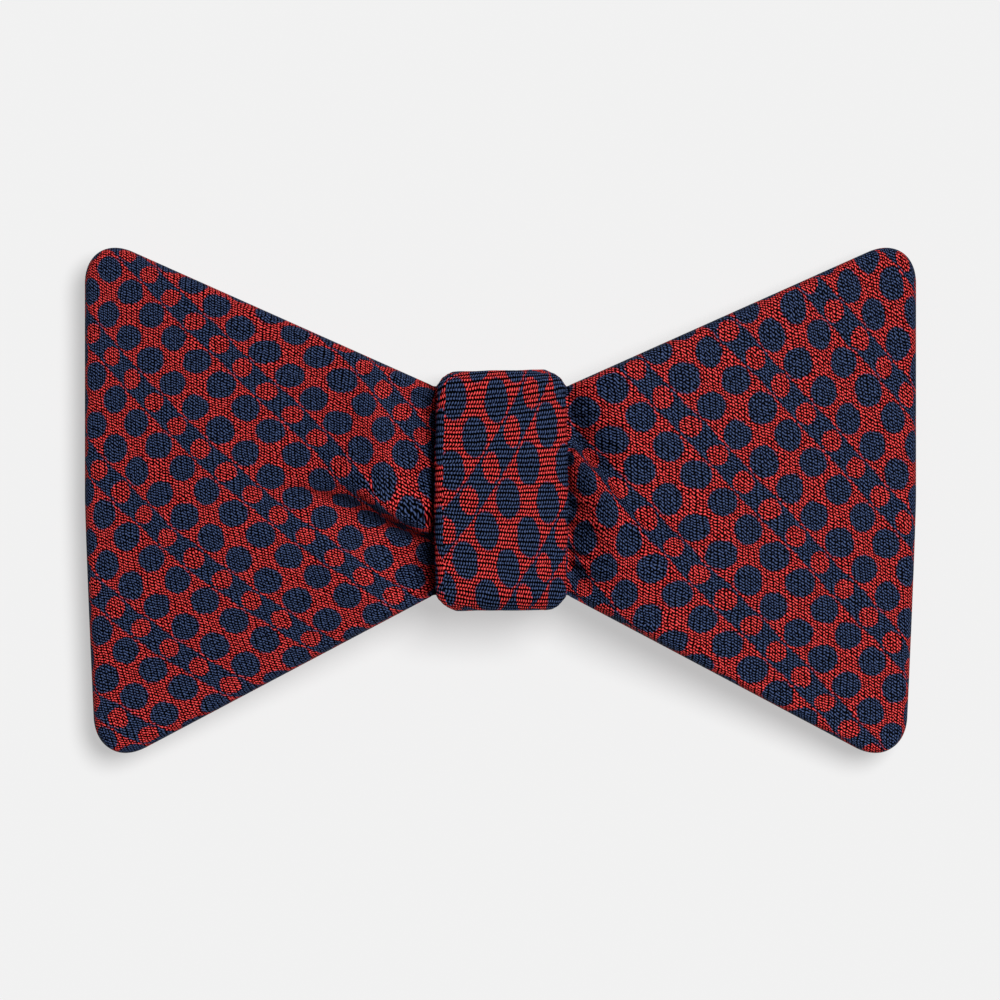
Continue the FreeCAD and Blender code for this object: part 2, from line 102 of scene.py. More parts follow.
class BowShape(bpy.types.PropertyGroup):
    """Sizes of the two bows."""

    corner: length("Corner", "Radius of a wing's corners", 4.2)
    lean: length("Lean", "How much nearer the middle a wing's lower corner is", 1.2)
    waist: length("Waist", "Height of the gathered waist", 26.2)
    rise: length("Rise", "How far the waist is above the middle of the wings", 1.25)
    edge_roll: length("Edge roll", "Radius of the turned edge of a wing", 1.1)
    puff: length("Puff", "How far a wing's middle stands proud of its edges", 0.9)
    fold_depth: share("Fold depth", "Depth of the folds beside the wrap", 1.0, 0.0, 2.0)
    fullness: share("Fullness", "Spare cloth beside the wrap, as a share", 0.05, 0.0, 0.2)


class WrapShape(bpy.types.PropertyGroup):
    """Sizes of the wrap."""

    corner: length("Corner", "Corner radius seen from the front", 1.6)
    bend: length("Bend", "Outside radius where it turns round the waist", 2.5)
    ply: length("Ply", "Thickness of the silk", 0.45)
    side_roll: length("Side roll", "Radius of its turned sides", 1.1)
    side_depth: length("Side depth", "How deep its turned sides are", 1.4)
    rib: length("Rib", "Height of its cross ribs", 0.11)


class SilkCloth(bpy.types.PropertyGroup):
    """The woven pattern and its colours."""

    column: length("Column", "Width of a pair of weave columns", 0.748)
    row: length("Row", "Height of one row of the weave", 0.41)
    step: length("Step", "From one dot to the next along a stripe", 4.65)
    repeat: length("Repeat", "From one dark stripe to the next", 11.86)
    stripe: length("Stripe", "Width of a dark stripe", 3.07)
    small_dot: length("Small dot", "Radius of a red dot", 1.28)
    large_dot: length("Large dot", "Radius of a navy dot", 1.81)
    first_row: length("First row", "From the middle of a stripe to the nearer row of dots", 3.675)
    second_row: length("Second row", "From the middle of a stripe to the further row of dots", 8.225)
    bias: bpy.props.FloatProperty(
        name="Bias", description="Slant of the stripes to the weave", default=math.radians(49.0), subtype="ANGLE"
    )
    # The deep colours are the dyes in the painted shade between threads; the lighter red and navy are a painted
    # highlight, the sheen on the raised threads.
    red: colour("Red", "The ground's deep threads", (0.85, 0.0, 0.01))
    red_light: colour("Red light", "The ground's raised threads", (0.86, 0.08, 0.08))
    navy: colour("Navy", "The figure's deep threads", (0.015, 0.036, 0.138))
    navy_light: colour("Navy light", "The figure's raised threads", (0.056, 0.086, 0.186))
    # How light the painted thread shading is on average, and how strong its painted shade and highlight are.
    tone: share("Tone", "How light the threads are", 0.365)
    contrast: share("Contrast", "How much the weave's threads stand out", 1.28, 0.0, 3.0)
    strands: share("Strands", "How much one strand differs from the next", 2.5, 0.0, 5.0)


class StageShape(bpy.types.PropertyGroup):
    """The table, the lights and the camera."""

    view_width: length("View width", "Width of the picture at the tie", 125.74)
    lens: bpy.props.FloatProperty(name="Lens", description="Focal length in millimetres", default=400.0)
    table: colour("Table", "Colour of the table", (0.345, 0.345, 0.345))
    glow: share("Glow", "Light that comes up through the table", 0.487, 0.0, 5.0)
    sun: share("Sun", "Strength of the main light", 3.7, 0.0, 20.0)
    sky: share("Sky", "Strength of the light from all round", 0.06, 0.0, 5.0)
    tilt: bpy.props.FloatProperty(
        name="Tilt", description="Main light's angle from straight down", default=math.radians(22), subtype="ANGLE"
    )
    heading: bpy.props.FloatProperty(
        name="Heading", description="Where the main light comes from, from +X", default=math.radians(36),
        subtype="ANGLE",
    )
    softness: bpy.props.FloatProperty(
        name="Softness", description="Angle across the main light", default=math.radians(28), subtype="ANGLE"
    )


class BowTie(bpy.types.PropertyGroup):
    """Everything a user may change."""

    bows: bpy.props.PointerProperty(name="Bows", description="The two bows", type=BowShape)
    wrap: bpy.props.PointerProperty(name="Wrap", description="The wrap", type=WrapShape)
    silk: bpy.props.PointerProperty(name="Silk", description="The cloth", type=SilkCloth)
    stage: bpy.props.PointerProperty(name="Stage", description="Table, lights, camera", type=StageShape)


def shape_of(part):
    """A property group's lengths in millimetres and its other values as they are."""
    out = {}
    for prop in part.bl_rna.properties:
        if prop.identifier not in ("rna_type", "name"):
            got = getattr(part, prop.identifier)
            out[prop.identifier] = got / MM if prop.unit == "LENGTH" else got
    return type("Shape", (), out)


# Materials


class Wire:
    """A number, colour or vector at every point of a surface, from one socket. Sums on it add Math nodes."""

    def __init__(self, paint, socket):
        self.paint = paint
        self.socket = socket

    def math(self, operation, *others):
        return self.paint.math(operation, self, *others)

    def __add__(self, other):
        return self.math("ADD", other)

    __radd__ = __add__

    def __mul__(self, other):
        return self.math("MULTIPLY", other)

    __rmul__ = __mul__

    def __sub__(self, other):
        return self.math("SUBTRACT", other)

    def __rsub__(self, other):
        return self.paint.math("SUBTRACT", other, self)

    def __truediv__(self, other):
        return self.math("DIVIDE", other)

    def __rtruediv__(self, other):
        return self.paint.math("DIVIDE", other, self)

    def __neg__(self):
        return self * -1

    def wave(self):
        """1 at each whole number and -1 half way between."""
        return (self * math.tau).math("COSINE")

    def wrapped(self, period):
        """The distance from the nearest whole number of periods."""
        return self.math("WRAP", period / 2, -period / 2)

    def at_least(self, other):
        return self.math("MAXIMUM", other)

    def at_most(self, other):
        return self.math("MINIMUM", other)

    def clear(self):
        """Kept from 0 to 1."""
        return self.at_least(0.0).at_most(1.0)


class Paint:
    """A material that is being made."""

    def __init__(self, name):
        self.material = bpy.data.materials.new(name)
        self.material.use_nodes = True
        self.tree = self.material.node_tree
        self.tree.nodes.clear()

    def node(self, kind, settings=None, sockets=None, out=0):
        """Adds a node: first its settings, then a value or a Wire for each socket. Gives the output asked for."""
        made = self.tree.nodes.new(kind)
        for key, setting in (settings or {}).items():
            setattr(made, key, setting)
        for key, given in (sockets or {}).items():
            if isinstance(given, Wire):
                self.tree.links.new(given.socket, made.inputs[key])
            else:
                made.inputs[key].default_value = given
        return Wire(self, made.outputs[out])

    def math(self, operation, *values):
        return self.node("ShaderNodeMath", {"operation": operation}, dict(enumerate(values)))

    def mix(self, factor, first, second):
        """A colour between two others."""
        given = [c if isinstance(c, Wire) else (*c, 1) for c in (first, second)]
        return self.node(
            "ShaderNodeMix", {"data_type": "RGBA"}, {0: factor, 6: given[0], 7: given[1]}, out=2
        )

    def point(self, x, y, z=0.0):
        """A vector from three numbers."""
        return self.node("ShaderNodeCombineXYZ", None, {0: x, 1: y, 2: z})

    def noise(self, place, scale, detail=2.0, roughness=0.5):
        """Smooth noise about 0, from about -0.5 to 0.5."""
        sockets = {"Vector": place, "Scale": scale, "Detail": detail, "Roughness": roughness}
        return self.node("ShaderNodeTexNoise", None, sockets) - 0.5

    def axes(self, vector):
        """A vector's three numbers."""
        split = self.tree.nodes.new("ShaderNodeSeparateXYZ")
        self.tree.links.new(vector.socket, split.inputs[0])
        return [Wire(self, output) for output in split.outputs]

    def relief(self, height, depth, strength=1.0):
        """A Bump node for a height from 0 to 1 that stands for the depth, in metres."""
        return self.node("ShaderNodeBump", None, {"Height": height, "Distance": depth, "Strength": strength})

    def done(self, **sockets):
        """Ends the material with a Principled shader."""
        named = {key.replace("_", " ").title().replace("Ior", "IOR"): value for key, value in sockets.items()}
        shader = self.node("ShaderNodeBsdfPrincipled", None, named)
        self.node_out(shader)
        return self.material

    def node_out(self, shader):
        """Joins a shader to the material's output."""
        end = self.tree.nodes.new("ShaderNodeOutputMaterial")
        self.tree.links.new(shader.socket, end.inputs["Surface"])


# The weave's painted shade in the gaps and painted highlight on the raised threads are a sum of waves: how often each
# repeats across a pair of columns and along a row, its share, and its turn in degrees.
WEAVE_SHADING = (
    (-1, 1, 0.370, 0), (0, 1, 0.130, 0), (2, 0, 0.240, 110), (1, 1, 0.135, 105),
    (-2, 1, 0.190, -118), (2, 1, 0.170, 57), (1, 0, 0.070, 140), (-2, 2, 0.110, -15),
)


def silk(name, cloth, ribs=1.0, uneven=1.0):
    """Woven silk: dark stripes and dots on red, drawn on the flat cloth, with the weave's slanting threads painted in
    as shade in their gaps and highlight on their crowns.

    ribs is how far the painted shade deepens the gaps between its columns, where stretching opens them, uneven how far
    its strands differ."""
    paint = Paint(name)
    across, along, _ = paint.axes(paint.node("ShaderNodeUVMap", {"uv_map": CLOTH_UV}))
    flat = paint.point(across, along)
    pair, row = across / cloth.column, along / -cloth.row
    # The sum below is the weave's painted shade and highlight; ribs deepens the painted shade between the columns.
    thread = 0.0
    for over, down, share_of, turned in WEAVE_SHADING:
        wave = (pair * over + row * down + turned / 360).wave() * share_of
        thread = thread + (wave * ribs if (over, down) == (2, 0) else wave)
    thread = thread * cloth.contrast
    strands = paint.noise(paint.point(across / cloth.column * 2, along / cloth.row), 1.15, 1.0, 0.5)
    patch = paint.noise(flat, 0.5, 2.0)
    # Lightness of each point: the threads' painted shade and highlight, with random strand and patch variation.
    tone = (cloth.tone + thread + strands * cloth.strands * uneven + patch * 0.12).clear()
    shade = tone.math("POWER", 2.2)

    turn, lean = math.cos(cloth.bias), math.sin(cloth.bias)
    ragged = thread * 0.1 + paint.noise(flat, 1.7, 1.0) * 0.12
    u = across * turn - along * lean
    v = -(across * lean + along * turn)

    def inside(distance, reach):
        """1 inside a figure and 0 outside, with an edge ragged by the threads."""
        return ((reach - distance + ragged) / 0.12 + 0.5).clear()

    def dots(row_place, radius):
        """A row of dots at one distance from the middle of each stripe."""
        du, dv = u.wrapped(cloth.step), (v - row_place).wrapped(cloth.repeat)
        return inside((du * du + dv * dv).math("SQRT"), radius)

    stripe = inside(v.wrapped(cloth.repeat).math("ABSOLUTE"), cloth.stripe / 2)
    holes = dots(0.0, cloth.small_dot)
    rows = dots(cloth.first_row, cloth.large_dot).at_least(dots(cloth.second_row, cloth.large_dot))
    figure = (stripe * (1 - holes)).at_least(rows)

    # Where the painted thread shading is light the colour turns to the painted sheen; the gaps are painted towards
    # black as shade.
    ground = paint.mix(tone * tone, cloth.red, cloth.red_light)
    figured = paint.mix(tone, cloth.navy, cloth.navy_light)
    base = paint.mix(shade, (0, 0, 0), paint.mix(figure, ground, figured))
    return paint.done(
        base_color=base,
        roughness=(0.66 - tone * 0.2).clear(),
        specular_ior_level=0.02,
        normal=paint.relief(tone, 0.06 * MM, 0.6),
    )


def nickel(name, tint, roughness):
    """Nickel plate on pressed steel, with fine rubbing marks and faint clouds."""
    paint = Paint(name)
    place = paint.node("ShaderNodeNewGeometry", None, None)
    x, y, z = paint.axes(place)
    rubbed = paint.noise(paint.point(x * 400, y * 9000, z * 9000), 1.0, 3.0)
    clouds = paint.noise(place, 260.0, 3.0)
    dark = [c * 0.72 for c in tint]
    return paint.done(
        base_color=paint.mix((0.55 + clouds * 0.9 + rubbed * 0.35).clear(), dark, tint),
        metallic=1.0,
        roughness=(roughness + clouds * 0.16 + rubbed * 0.2).clear(),
        normal=paint.relief(rubbed + 0.5, 0.004 * MM, 0.3),
    )


def thread_finish(name, tint):
    """Two-ply sewing thread: slightly hairy, lighter and darker at random in fine flecks."""
    paint = Paint(name)
    place = paint.node("ShaderNodeNewGeometry", None, None)
    fibres = paint.noise(place, 9000.0, 3.0)
    light = [min(1.0, c * 2.2 + 0.02) for c in tint]
    return paint.done(
        base_color=paint.mix((0.35 + fibres * 1.3).clear(), tint, light),
        roughness=0.7,
        specular_ior_level=0.2,
        normal=paint.relief(fibres + 0.5, 0.01 * MM, 0.4),
    )


def lining_finish(name):
    """Brushed wool and cotton interlining, in a plain open weave."""
    paint = Paint(name)
    across, along, _ = paint.axes(paint.node("ShaderNodeUVMap", {"uv_map": CLOTH_UV}))
    flat = paint.point(across, along)
    weave = (across / 0.8).wave() * (along / 0.8).wave()
    fuzz = paint.noise(flat, 3.0, 4.0, 0.7)
    return paint.done(
        base_color=paint.mix((0.5 + weave * 0.25 + fuzz * 0.7).clear(), (0.5, 0.46, 0.38), (0.86, 0.82, 0.72)),
        roughness=0.9,
        specular_ior_level=0.1,
        normal=paint.relief((0.5 + weave * 0.3 + fuzz * 0.5).clear(), 0.12 * MM, 0.6),
    )


def satin_finish(name):
    """Blank woven satin tape, with fine ribs along it and firm selvedges."""
    paint = Paint(name)
    across, along, _ = paint.axes(paint.node("ShaderNodeUVMap", {"uv_map": CLOTH_UV}))
    ribs = (along / 0.22).wave()
    cross = (across / 0.5 + along / 0.9).wave()
    cloud = paint.noise(paint.point(across, along), 0.8, 3.0)
    return paint.done(
        base_color=paint.mix((0.45 + ribs * 0.2 + cross * 0.08 + cloud * 0.6).clear(), (0.012, 0.016, 0.035),
                             (0.06, 0.075, 0.13)),
        roughness=(0.36 + cloud * 0.2).clear(),
        specular_ior_level=0.4,
        normal=paint.relief((0.5 + ribs * 0.5).clear(), 0.02 * MM, 0.5),
    )


def table_finish(name, tint, glow):
    """A plain matt table, lit a little from beneath, with the faintest grain."""
    paint = Paint(name)
    place = paint.node("ShaderNodeNewGeometry", None, None)
    grain = paint.noise(place, 1400.0, 2.0)
    return paint.done(
        base_color=paint.mix((0.5 + grain * 0.5).clear(), [c * 0.992 for c in tint], tint),
        roughness=0.95,
        specular_ior_level=0.0,
        emission_color=(1, 1, 1, 1),
        emission_strength=glow,
    )


# Meshes


def make_mesh(name, points, faces, material, uv=None):
    """A mesh object from points in millimetres. uv gives each corner of each face its place on the flat cloth."""
    mesh = bpy.data.meshes.new(name)
    mesh.from_pydata((points * MM).tolist(), [], faces.tolist() if isinstance(faces, np.ndarray) else faces)
    if uv is not None:
        layer = mesh.uv_layers.new(name=CLOTH_UV)
        layer.data.foreach_set("uv", np.asarray(uv, np.float32).ravel())
    mesh.materials.append(material)
    mesh.polygons.foreach_set("use_smooth", [True] * len(mesh.polygons))
    mesh.validate()
    mesh.update()
    made = bpy.data.objects.new(name, mesh)
    bpy.context.scene.collection.objects.link(made)
    return made


def quads(rows, columns, close_rows=False, close_columns=False):
    """Faces of a grid whose point (i, j) is number i * columns + j."""
    i = np.arange(rows if close_rows else rows - 1)
    j = np.arange(columns if close_columns else columns - 1)
    i, j = np.meshgrid(i, j, indexing="ij")
    i2, j2 = (i + 1) % rows, (j + 1) % columns
    return np.stack([i * columns + j, i2 * columns + j, i2 * columns + j2, i * columns + j2], -1).reshape(-1, 4)


def finer(grid):
    """Twice as many points each way, on a smooth curve through the old ones."""
    for axis in (0, 1):
        g = np.moveaxis(grid, axis, 0)
        ends = np.concatenate([2 * g[:1] - g[1:2], g, 2 * g[-1:] - g[-2:-1]])
        half = (9 * (ends[1:-2] + ends[2:-1]) - ends[:-3] - ends[3:]) / 16
        out = np.empty((2 * len(g) - 1, *g.shape[1:]))
        out[::2], out[1::2] = g, half
        grid = np.moveaxis(out, 0, axis)
    return grid


def tube(path, radius, sides=8, closed=False, twist=0.0):
    """Points and faces of a tube along a path in millimetres. A twist, in turns per millimetre, makes it two-ply."""
    path = np.asarray(path, float)
    if closed:
        ahead = np.roll(path, -1, 0) - np.roll(path, 1, 0)
    else:
        ahead = np.gradient(path, axis=0)
    ahead /= np.linalg.norm(ahead, axis=1, keepdims=True)
    side = np.cross(ahead[0], (0.31, 0.52, 0.79))
    side /= np.linalg.norm(side)
    sides_of = []
    for way in ahead:
        side = side - way * side.dot(way)
        side /= np.linalg.norm(side)
        sides_of.append(side.copy())
    side = np.array(sides_of)
    up = np.cross(ahead, side)
    steps = np.linalg.norm(np.diff(path, axis=0), axis=1)
    run = np.concatenate([[0], np.cumsum(steps)])
    angle = np.arange(sides) * math.tau / sides
    ply = radius * (1 - (0.22 if twist else 0) * (1 - np.cos(2 * (angle[None] - math.tau * twist * run[:, None]))) / 2)
    ring = side[:, None] * np.cos(angle)[None, :, None] + up[:, None] * np.sin(angle)[None, :, None]
    points = path[:, None] + ring * ply[:, :, None]
    faces = quads(len(path), sides, close_rows=closed, close_columns=True).tolist()
    points = points.reshape(-1, 3)
    if not closed:
        last = (len(path) - 1) * sides
        faces.append(list(range(sides))[::-1])
        faces.append([last + k for k in range(sides)])
    faces = [f[::-1] for f in faces]
    return points, faces


def joined(parts):
    """Several sets of points and faces as one."""
    points, faces, start = [], [], 0
    for p, f in parts:
        points.append(p)
        faces += [[k + start for k in face] for face in f]
        start += len(p)
    return np.concatenate(points), faces


def make_tubes(name, parts, material):
    """One mesh of several tubes, whose faces may have any number of corners."""
    return make_mesh(name, *joined(parts), material)


def place(piece, slot, *nodes, body="bow"):
    """Puts a piece on its body in place of its CAD nodes."""
    if body:
        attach(piece, body)
    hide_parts(*nodes)
    return piece


# The bows

EDGE_TURN = 1.1  # radius over which the cloth turns round a wing's edge
FOLD_FADE = 2.6  # how far in from the edges the folds reach their full depth
LINING_INSET = 1.6  # how far the interlinings' tips stay inside the silk's
LINING_TRIM = 1.5  # and their top and bottom edges at the waist
LEVEL_END = 24.5  # where the rear bow leaves the clip's level and starts to fall
REAR_LOW = 5.1  # height of the rear bow's underside over the clip, above its tips'
REAR_WAIST_PLY = 3.6  # thickness of the rear bow at the waist
REAR_WING_PLY = 1.6  # and in the wings


def graded(count, near, far):
    """Numbers from 0 to 1, closest together at 0, widest apart in the middle and closer again at 1."""
    t = (np.arange(count - 1) + 0.5) / (count - 1)
    steps = near + (far - near) * np.sin(math.pi * t**0.75)
    return np.concatenate([[0], np.cumsum(steps)]) / steps.sum()


def crowded(count, amount=0.82):
    """Numbers from -1 to 1 that crowd towards both ends."""
    t = np.linspace(-1, 1, count)
    return t * (1 - amount) + np.sin(t * math.pi / 2) * amount


class Bow:
    """The outline of one bow, and a grid over it. Columns run from the left tip to the right, rows go up."""

    def __init__(self, shape, box, inset=0.0, trim=0.0, rows=97, columns=66):
        self.shape = shape
        self.trim = trim  # how far its top and bottom edges stay inside the silk's at the waist
        self.knot = (WRAP_BOX[1][0] - WRAP_BOX[0][0]) / 2
        self.tip = box[1][0] - inset
        self.top = box[1][1] - inset
        self.rows = crowded(rows)
        out = graded(columns, 0.5, 1.0)
        middle = np.linspace(-1, 1, 15)[1:-1]
        self.columns = np.concatenate([-(out[::-1]) - 1, middle, out + 1])
        self.build()

    def edge_line(self, sign, lean):
        """The start height and the slope of a wing's top or bottom edge, which touches its round corner."""
        s = self.shape
        start = s.rise + sign * (s.waist / 2 - self.trim)
        dx = self.tip - lean - s.corner - self.knot
        dy = sign * (self.top - s.corner) - start
        slope = math.tan(math.atan2(abs(dy), dx) + math.asin(s.corner / math.hypot(dx, dy)))
        return start, sign * slope

    def build(self):
        """Works out each grid point's place, and how far it is from each edge."""
        s = self.shape
        top0, top_slope = self.edge_line(1, 0.0)
        low0, low_slope = self.edge_line(-1, s.lean)
        column, row = np.meshgrid(self.columns, self.rows, indexing="ij")
        side = np.where(column < 0, -1.0, 1.0)
        reach = np.maximum(np.abs(column) - 1, 0)  # 0 at the wrap and 1 at the tip
        in_knot = np.abs(column) <= 1
        y_tip = s.rise + row * self.top
        drop = np.clip(-(y_tip - 2) / (self.top - s.corner), 0, 1.2)
        edge_x = self.tip - s.lean * drop**1.15
        x = np.where(in_knot, np.abs(column) * self.knot, self.knot + reach * (edge_x - self.knot))
        beyond = np.maximum(x - self.knot, 0)
        top, low = top0 + top_slope * beyond, low0 + low_slope * beyond
        y = low + (top - low) * (row + 1) / 2
        self.d_top, self.d_low, self.d_out = (top - y), (y - low), np.where(in_knot, 50.0, edge_x - x)
        for sign, slope in ((1, top_slope), (-1, low_slope)):
            self.round_corner(x, y, sign, slope)
        self.side, self.beyond, self.eta = side, np.maximum(x - self.knot, 0), row
        self.x, self.y = x * side * np.where(column == 0, 0, 1), y
        self.in_knot = in_knot

    def round_corner(self, x, y, sign, slope):
        """Moves the grid in from a sharp corner on to a round one."""
        s = self.shape
        angle = (math.pi / 2 - math.atan(abs(slope))) / 2
        reach = s.corner / math.tan(angle) * 1.03
        along = np.array([-1, -slope]) / math.hypot(1, slope)
        down = np.array([0.0, -sign])
        gap = self.d_top if sign > 0 else self.d_low
        p = self.d_out / (-along[0]) / reach
        q = gap / reach
        near = (p < 1) & (q < 1)
        big_p, big_q = np.clip(1 - p, 0, 1), np.clip(1 - q, 0, 1)
        new_p = big_p * np.sqrt(1 - big_q**2 / 2)
        new_q = big_q * np.sqrt(1 - big_p**2 / 2)
        move_p, move_q = (big_p - new_p) * reach, (big_q - new_q) * reach
        x += np.where(near, move_p * along[0] + move_q * down[0], 0)
        y += np.where(near, move_p * along[1] + move_q * down[1], 0)

    def roll(self, radius):
        """0 on the outline, rising round a turned edge to 1."""
        out = 1.0
        for distance in (self.d_top, self.d_low, self.d_out):
            t = np.clip(distance / radius, 0, 1)
            out = out * np.sqrt(1 - (1 - t) ** 2)
        return out

    def over_edge(self, radius):
        """Flat places of the cloth, which runs on a little as it turns over the outline."""
        more = [radius * 1.1 * (1 - np.sqrt(1 - (1 - np.clip(gap / radius, 0, 1)) ** 2))
                for gap in (self.d_out, self.d_top, self.d_low)]
        return np.stack([self.side * more[0], more[1] - more[2]], -1)


def crease(bow, side, ridge, valley, depth, reach, near=2.4, far=1.5, crest=0.45):
    """Height of a fold in one wing, its strength from 0 to 1, and the place across it.

    The place is 0 on the ridge and 1 in the valley. ridge and valley are points (distance from the middle, height).
    The fold is deepest at the wrap and fades out."""
    x = np.abs(bow.x)
    top = np.interp(x, *zip(*ridge))
    low = np.interp(x, *zip(*valley))
    across = (top - bow.y) / (top - low)
    t = np.clip(across, 0, 1)
    wall = crest - t * t * (3 - 2 * t)
    outside = np.where(across < 0, crest * np.exp(-((across / near) ** 2)),
                       (crest - 1) * np.exp(-(((across - 1) / far) ** 2)))
    strength = np.exp(-((bow.beyond / reach) ** 2.2)) * (bow.side == side) * ~bow.in_knot
    return depth * strength * np.where((across < 0) | (across > 1), outside, wall), strength, across


def tuck(bow, side, low, high, depth, reach):
    """The cloth dives under the wrap between two heights, sooner or later."""
    share = 1 / (1 + np.exp(-(bow.y - low) / 0.9)) / (1 + np.exp((bow.y - high) / 0.9))
    return -depth * share * np.exp(-bow.beyond / reach) * (bow.side == side) * ~bow.in_knot


# The two big folds of the front: points (distance from the middle, height) along their ridges and valleys.
LEFT_RIDGE = ((8.3, -2.5), (9.7, -2.1), (12.5, -0.9), (15.9, 1.6), (18.5, 2.8), (22, 3.0), (26, 3.0))
LEFT_VALLEY = ((8.3, -5.2), (10, -4.9), (12.4, -4.3), (16.4, -2.6), (19, -1.2), (22, -0.3), (26, 0.3))
RIGHT_RIDGE = ((8.3, 5.9), (11.4, 2.45), (14, -1.2), (17.3, -4.4), (22, -8.6))
RIGHT_VALLEY = ((8.3, 8.0), (11.5, 5.0), (14.8, 1.2), (17.7, -1.4), (22, -5.2))


def front_folds(bow):
    """How far the folds beside the wrap move each point of the front, in three directions."""
    left, left_share, left_across = crease(bow, -1, LEFT_RIDGE, LEFT_VALLEY, 5.0, 14.5, near=2.6, far=1.5, crest=0.4)
    right, right_share, right_across = crease(bow, 1, RIGHT_RIDGE, RIGHT_VALLEY, 3.7, 12.5, near=2.2, far=1.7)
    small, _, _ = crease(
        bow, 1, ((8.3, -6.0), (12, -9.6), (16, -13)), ((8.3, -7.6), (12, -11.8), (16, -15.5)), 0.8, 4.0
    )
    third, _, _ = crease(
        bow, -1, ((8.3, 8.4), (12, 10.4), (17, 13)), ((8.3, 5.8), (12, 7.3), (17, 9.5)), -0.6, 6.0
    )
    z = left + right + small + third - pocket(bow) + pleats(bow)
    z += 1.5 * np.exp(-(((bow.beyond - 6.5) / 5) ** 2)) * np.clip(1.15 - np.abs(bow.eta) ** 3, 0, 1)
    z += tuck(bow, -1, 4.5, 30, 3.6, 3.4) + tuck(bow, -1, -30, 4.5, 3.2, 2.2)
    z += tuck(bow, 1, 7.5, 30, 2.9, 2.4) + tuck(bow, 1, -30, 7.5, 3.6, 2.6)
    z -= bow.in_knot * 3.0
    lap = np.exp(-(((left_across - 0.2) / 0.42) ** 2)) * left_share
    lean = np.exp(-(((right_across - 0.3) / 0.5) ** 2)) * right_share
    return np.stack([0.5 * lean, -1.0 * lap + 0.4 * lean, z], -1)


def pocket(bow):
    """How far the layers are pressed down under the left fold, beside the wrap."""
    return 2.6 * np.exp(-((bow.beyond / 7) ** 2) - ((bow.y + 7.5) / 4.4) ** 2) * eased(-bow.x / 5)


def pleats(bow):
    """Fine gathers that fan out from under the wrap."""
    rng = np.random.default_rng(23)
    place = bow.eta * bow.shape.waist / 2 + bow.side * 40
    total = np.zeros_like(bow.x)
    for pitch, height in ((1.25, 0.14), (1.8, 0.26), (2.7, 0.36), (4.1, 0.3)):
        wander = 0.6 * np.sin(bow.beyond / rng.uniform(1.5, 2.5) + rng.uniform(0, math.tau))
        total += height * np.sin(math.tau * place / pitch + rng.uniform(0, math.tau) + wander)
    return total * np.exp(-((bow.beyond / 4.2) ** 1.4)) * ~bow.in_knot


def rear_folds(bow):
    """Height of the folds in the rear bow's underside, which is pulled more evenly."""
    total = np.zeros_like(bow.x)
    for side, ridge, valley, depth in (
        (-1, ((8.3, 9.6), (24, 13)), ((8.3, 7.8), (24, 9.5)), 1.0),
        (-1, ((8.3, -6.0), (24, -9)), ((8.3, -8.2), (24, -13)), 1.1),
        (1, ((8.3, 10.0), (24, 14)), ((8.3, 8.0), (24, 10)), 1.1),
        (1, ((8.3, -5.6), (24, -8)), ((8.3, -7.6), (24, -12)), 1.0),
    ):
        total += crease(bow, side, ridge, valley, depth, 12.0)[0]
    return total


def above(z, floor, soft=0.3):
    """Heights kept above a floor, with a smooth change."""
    t = (z - floor) / soft
    return floor + soft * np.where(t > 20, t, np.log1p(np.exp(np.minimum(t, 20))))


def eased(t):
    """0 below 0, 1 above 1, and a smooth change between."""
    t = np.clip(t, 0, 1)
    return t * t * (3 - 2 * t)


def gathered(bow):
    """Where each grid point lies on the flat cloth. The folds beside the wrap take some of it up."""
    x, y, beyond = np.abs(bow.x), bow.y, bow.beyond
    _, _, over_left = crease(bow, -1, LEFT_RIDGE, LEFT_VALLEY, 1.0, 10.0)
    _, _, over_right = crease(bow, 1, RIGHT_RIDGE, RIGHT_VALLEY, 1.0, 10.0)
    height = np.maximum(y - np.interp(x, *zip(*LEFT_RIDGE)), 0)
    # Left wing: cloth above the fold is pulled up and in, cloth below it down and in.
    high_y = 4.6 * np.exp(-((beyond / 9) ** 1.6)) * np.exp(-height / 7)
    high_x = 2.0 * np.exp(-((beyond / 6.5) ** 2)) * np.clip((y + 1) / 10, 0, 1)
    low_y = -0.55 * np.exp(-((beyond / 14) ** 2)) * (1 - np.clip((-y - 4) / 9, 0, 1))
    low_x = -1.7 * np.exp(-beyond / 9) * np.clip((-y - 3) / 8, 0, 1)
    below = eased(over_left)
    left = np.stack([high_x + (low_x - high_x) * below, high_y + (low_y - high_y) * below], -1)
    # Right wing: cloth left of the ridge is pulled in under the wrap.
    groove = eased((over_right + 0.5) / 1.1)
    right = np.stack([
        -4.8 * np.exp(-beyond / 6.2) * (1 - groove)
        - 0.5 * np.exp(-((beyond / 12) ** 2)) * groove * eased(1.6 - over_right),
        -1.3 * np.tanh((y + 3) / 6) * np.exp(-((beyond / 13) ** 2)),
    ], -1)
    move = np.where((bow.side > 0)[..., None], right, left)
    return np.stack([bow.x, bow.y], -1) + bow.over_edge(EDGE_TURN) + move


class Lie:
    """How the cloth's pattern lies on a wing: its place, turn and stretch round a point, and how they change."""

    def __init__(self, centre, along, across, low, high):
        self.centre, self.along, self.across = centre, along, across
        self.low, self.high = low, high

    def pattern(self, flat):
        """Distance along and across the stripes at flat places on the cloth."""
        x, y = flat[..., 0] - self.centre[0], flat[..., 1] - self.centre[1]
        held = np.clip(x, self.low, self.high)

        def terms(x):
            return np.stack([np.ones_like(x), x, y, x * x, x * y, y * y, x**3, x * x * y, x * y * y, y**3])

        out = []
        for weights in (self.along, self.across):
            weights = np.array([*weights, *[0.0] * (10 - len(weights))])
            here = np.tensordot(weights, terms(held), 1)
            step = np.tensordot(weights, terms(held + 0.01), 1) - here
            out.append(here + step / 0.01 * (x - held))
        return np.stack(out, -1)


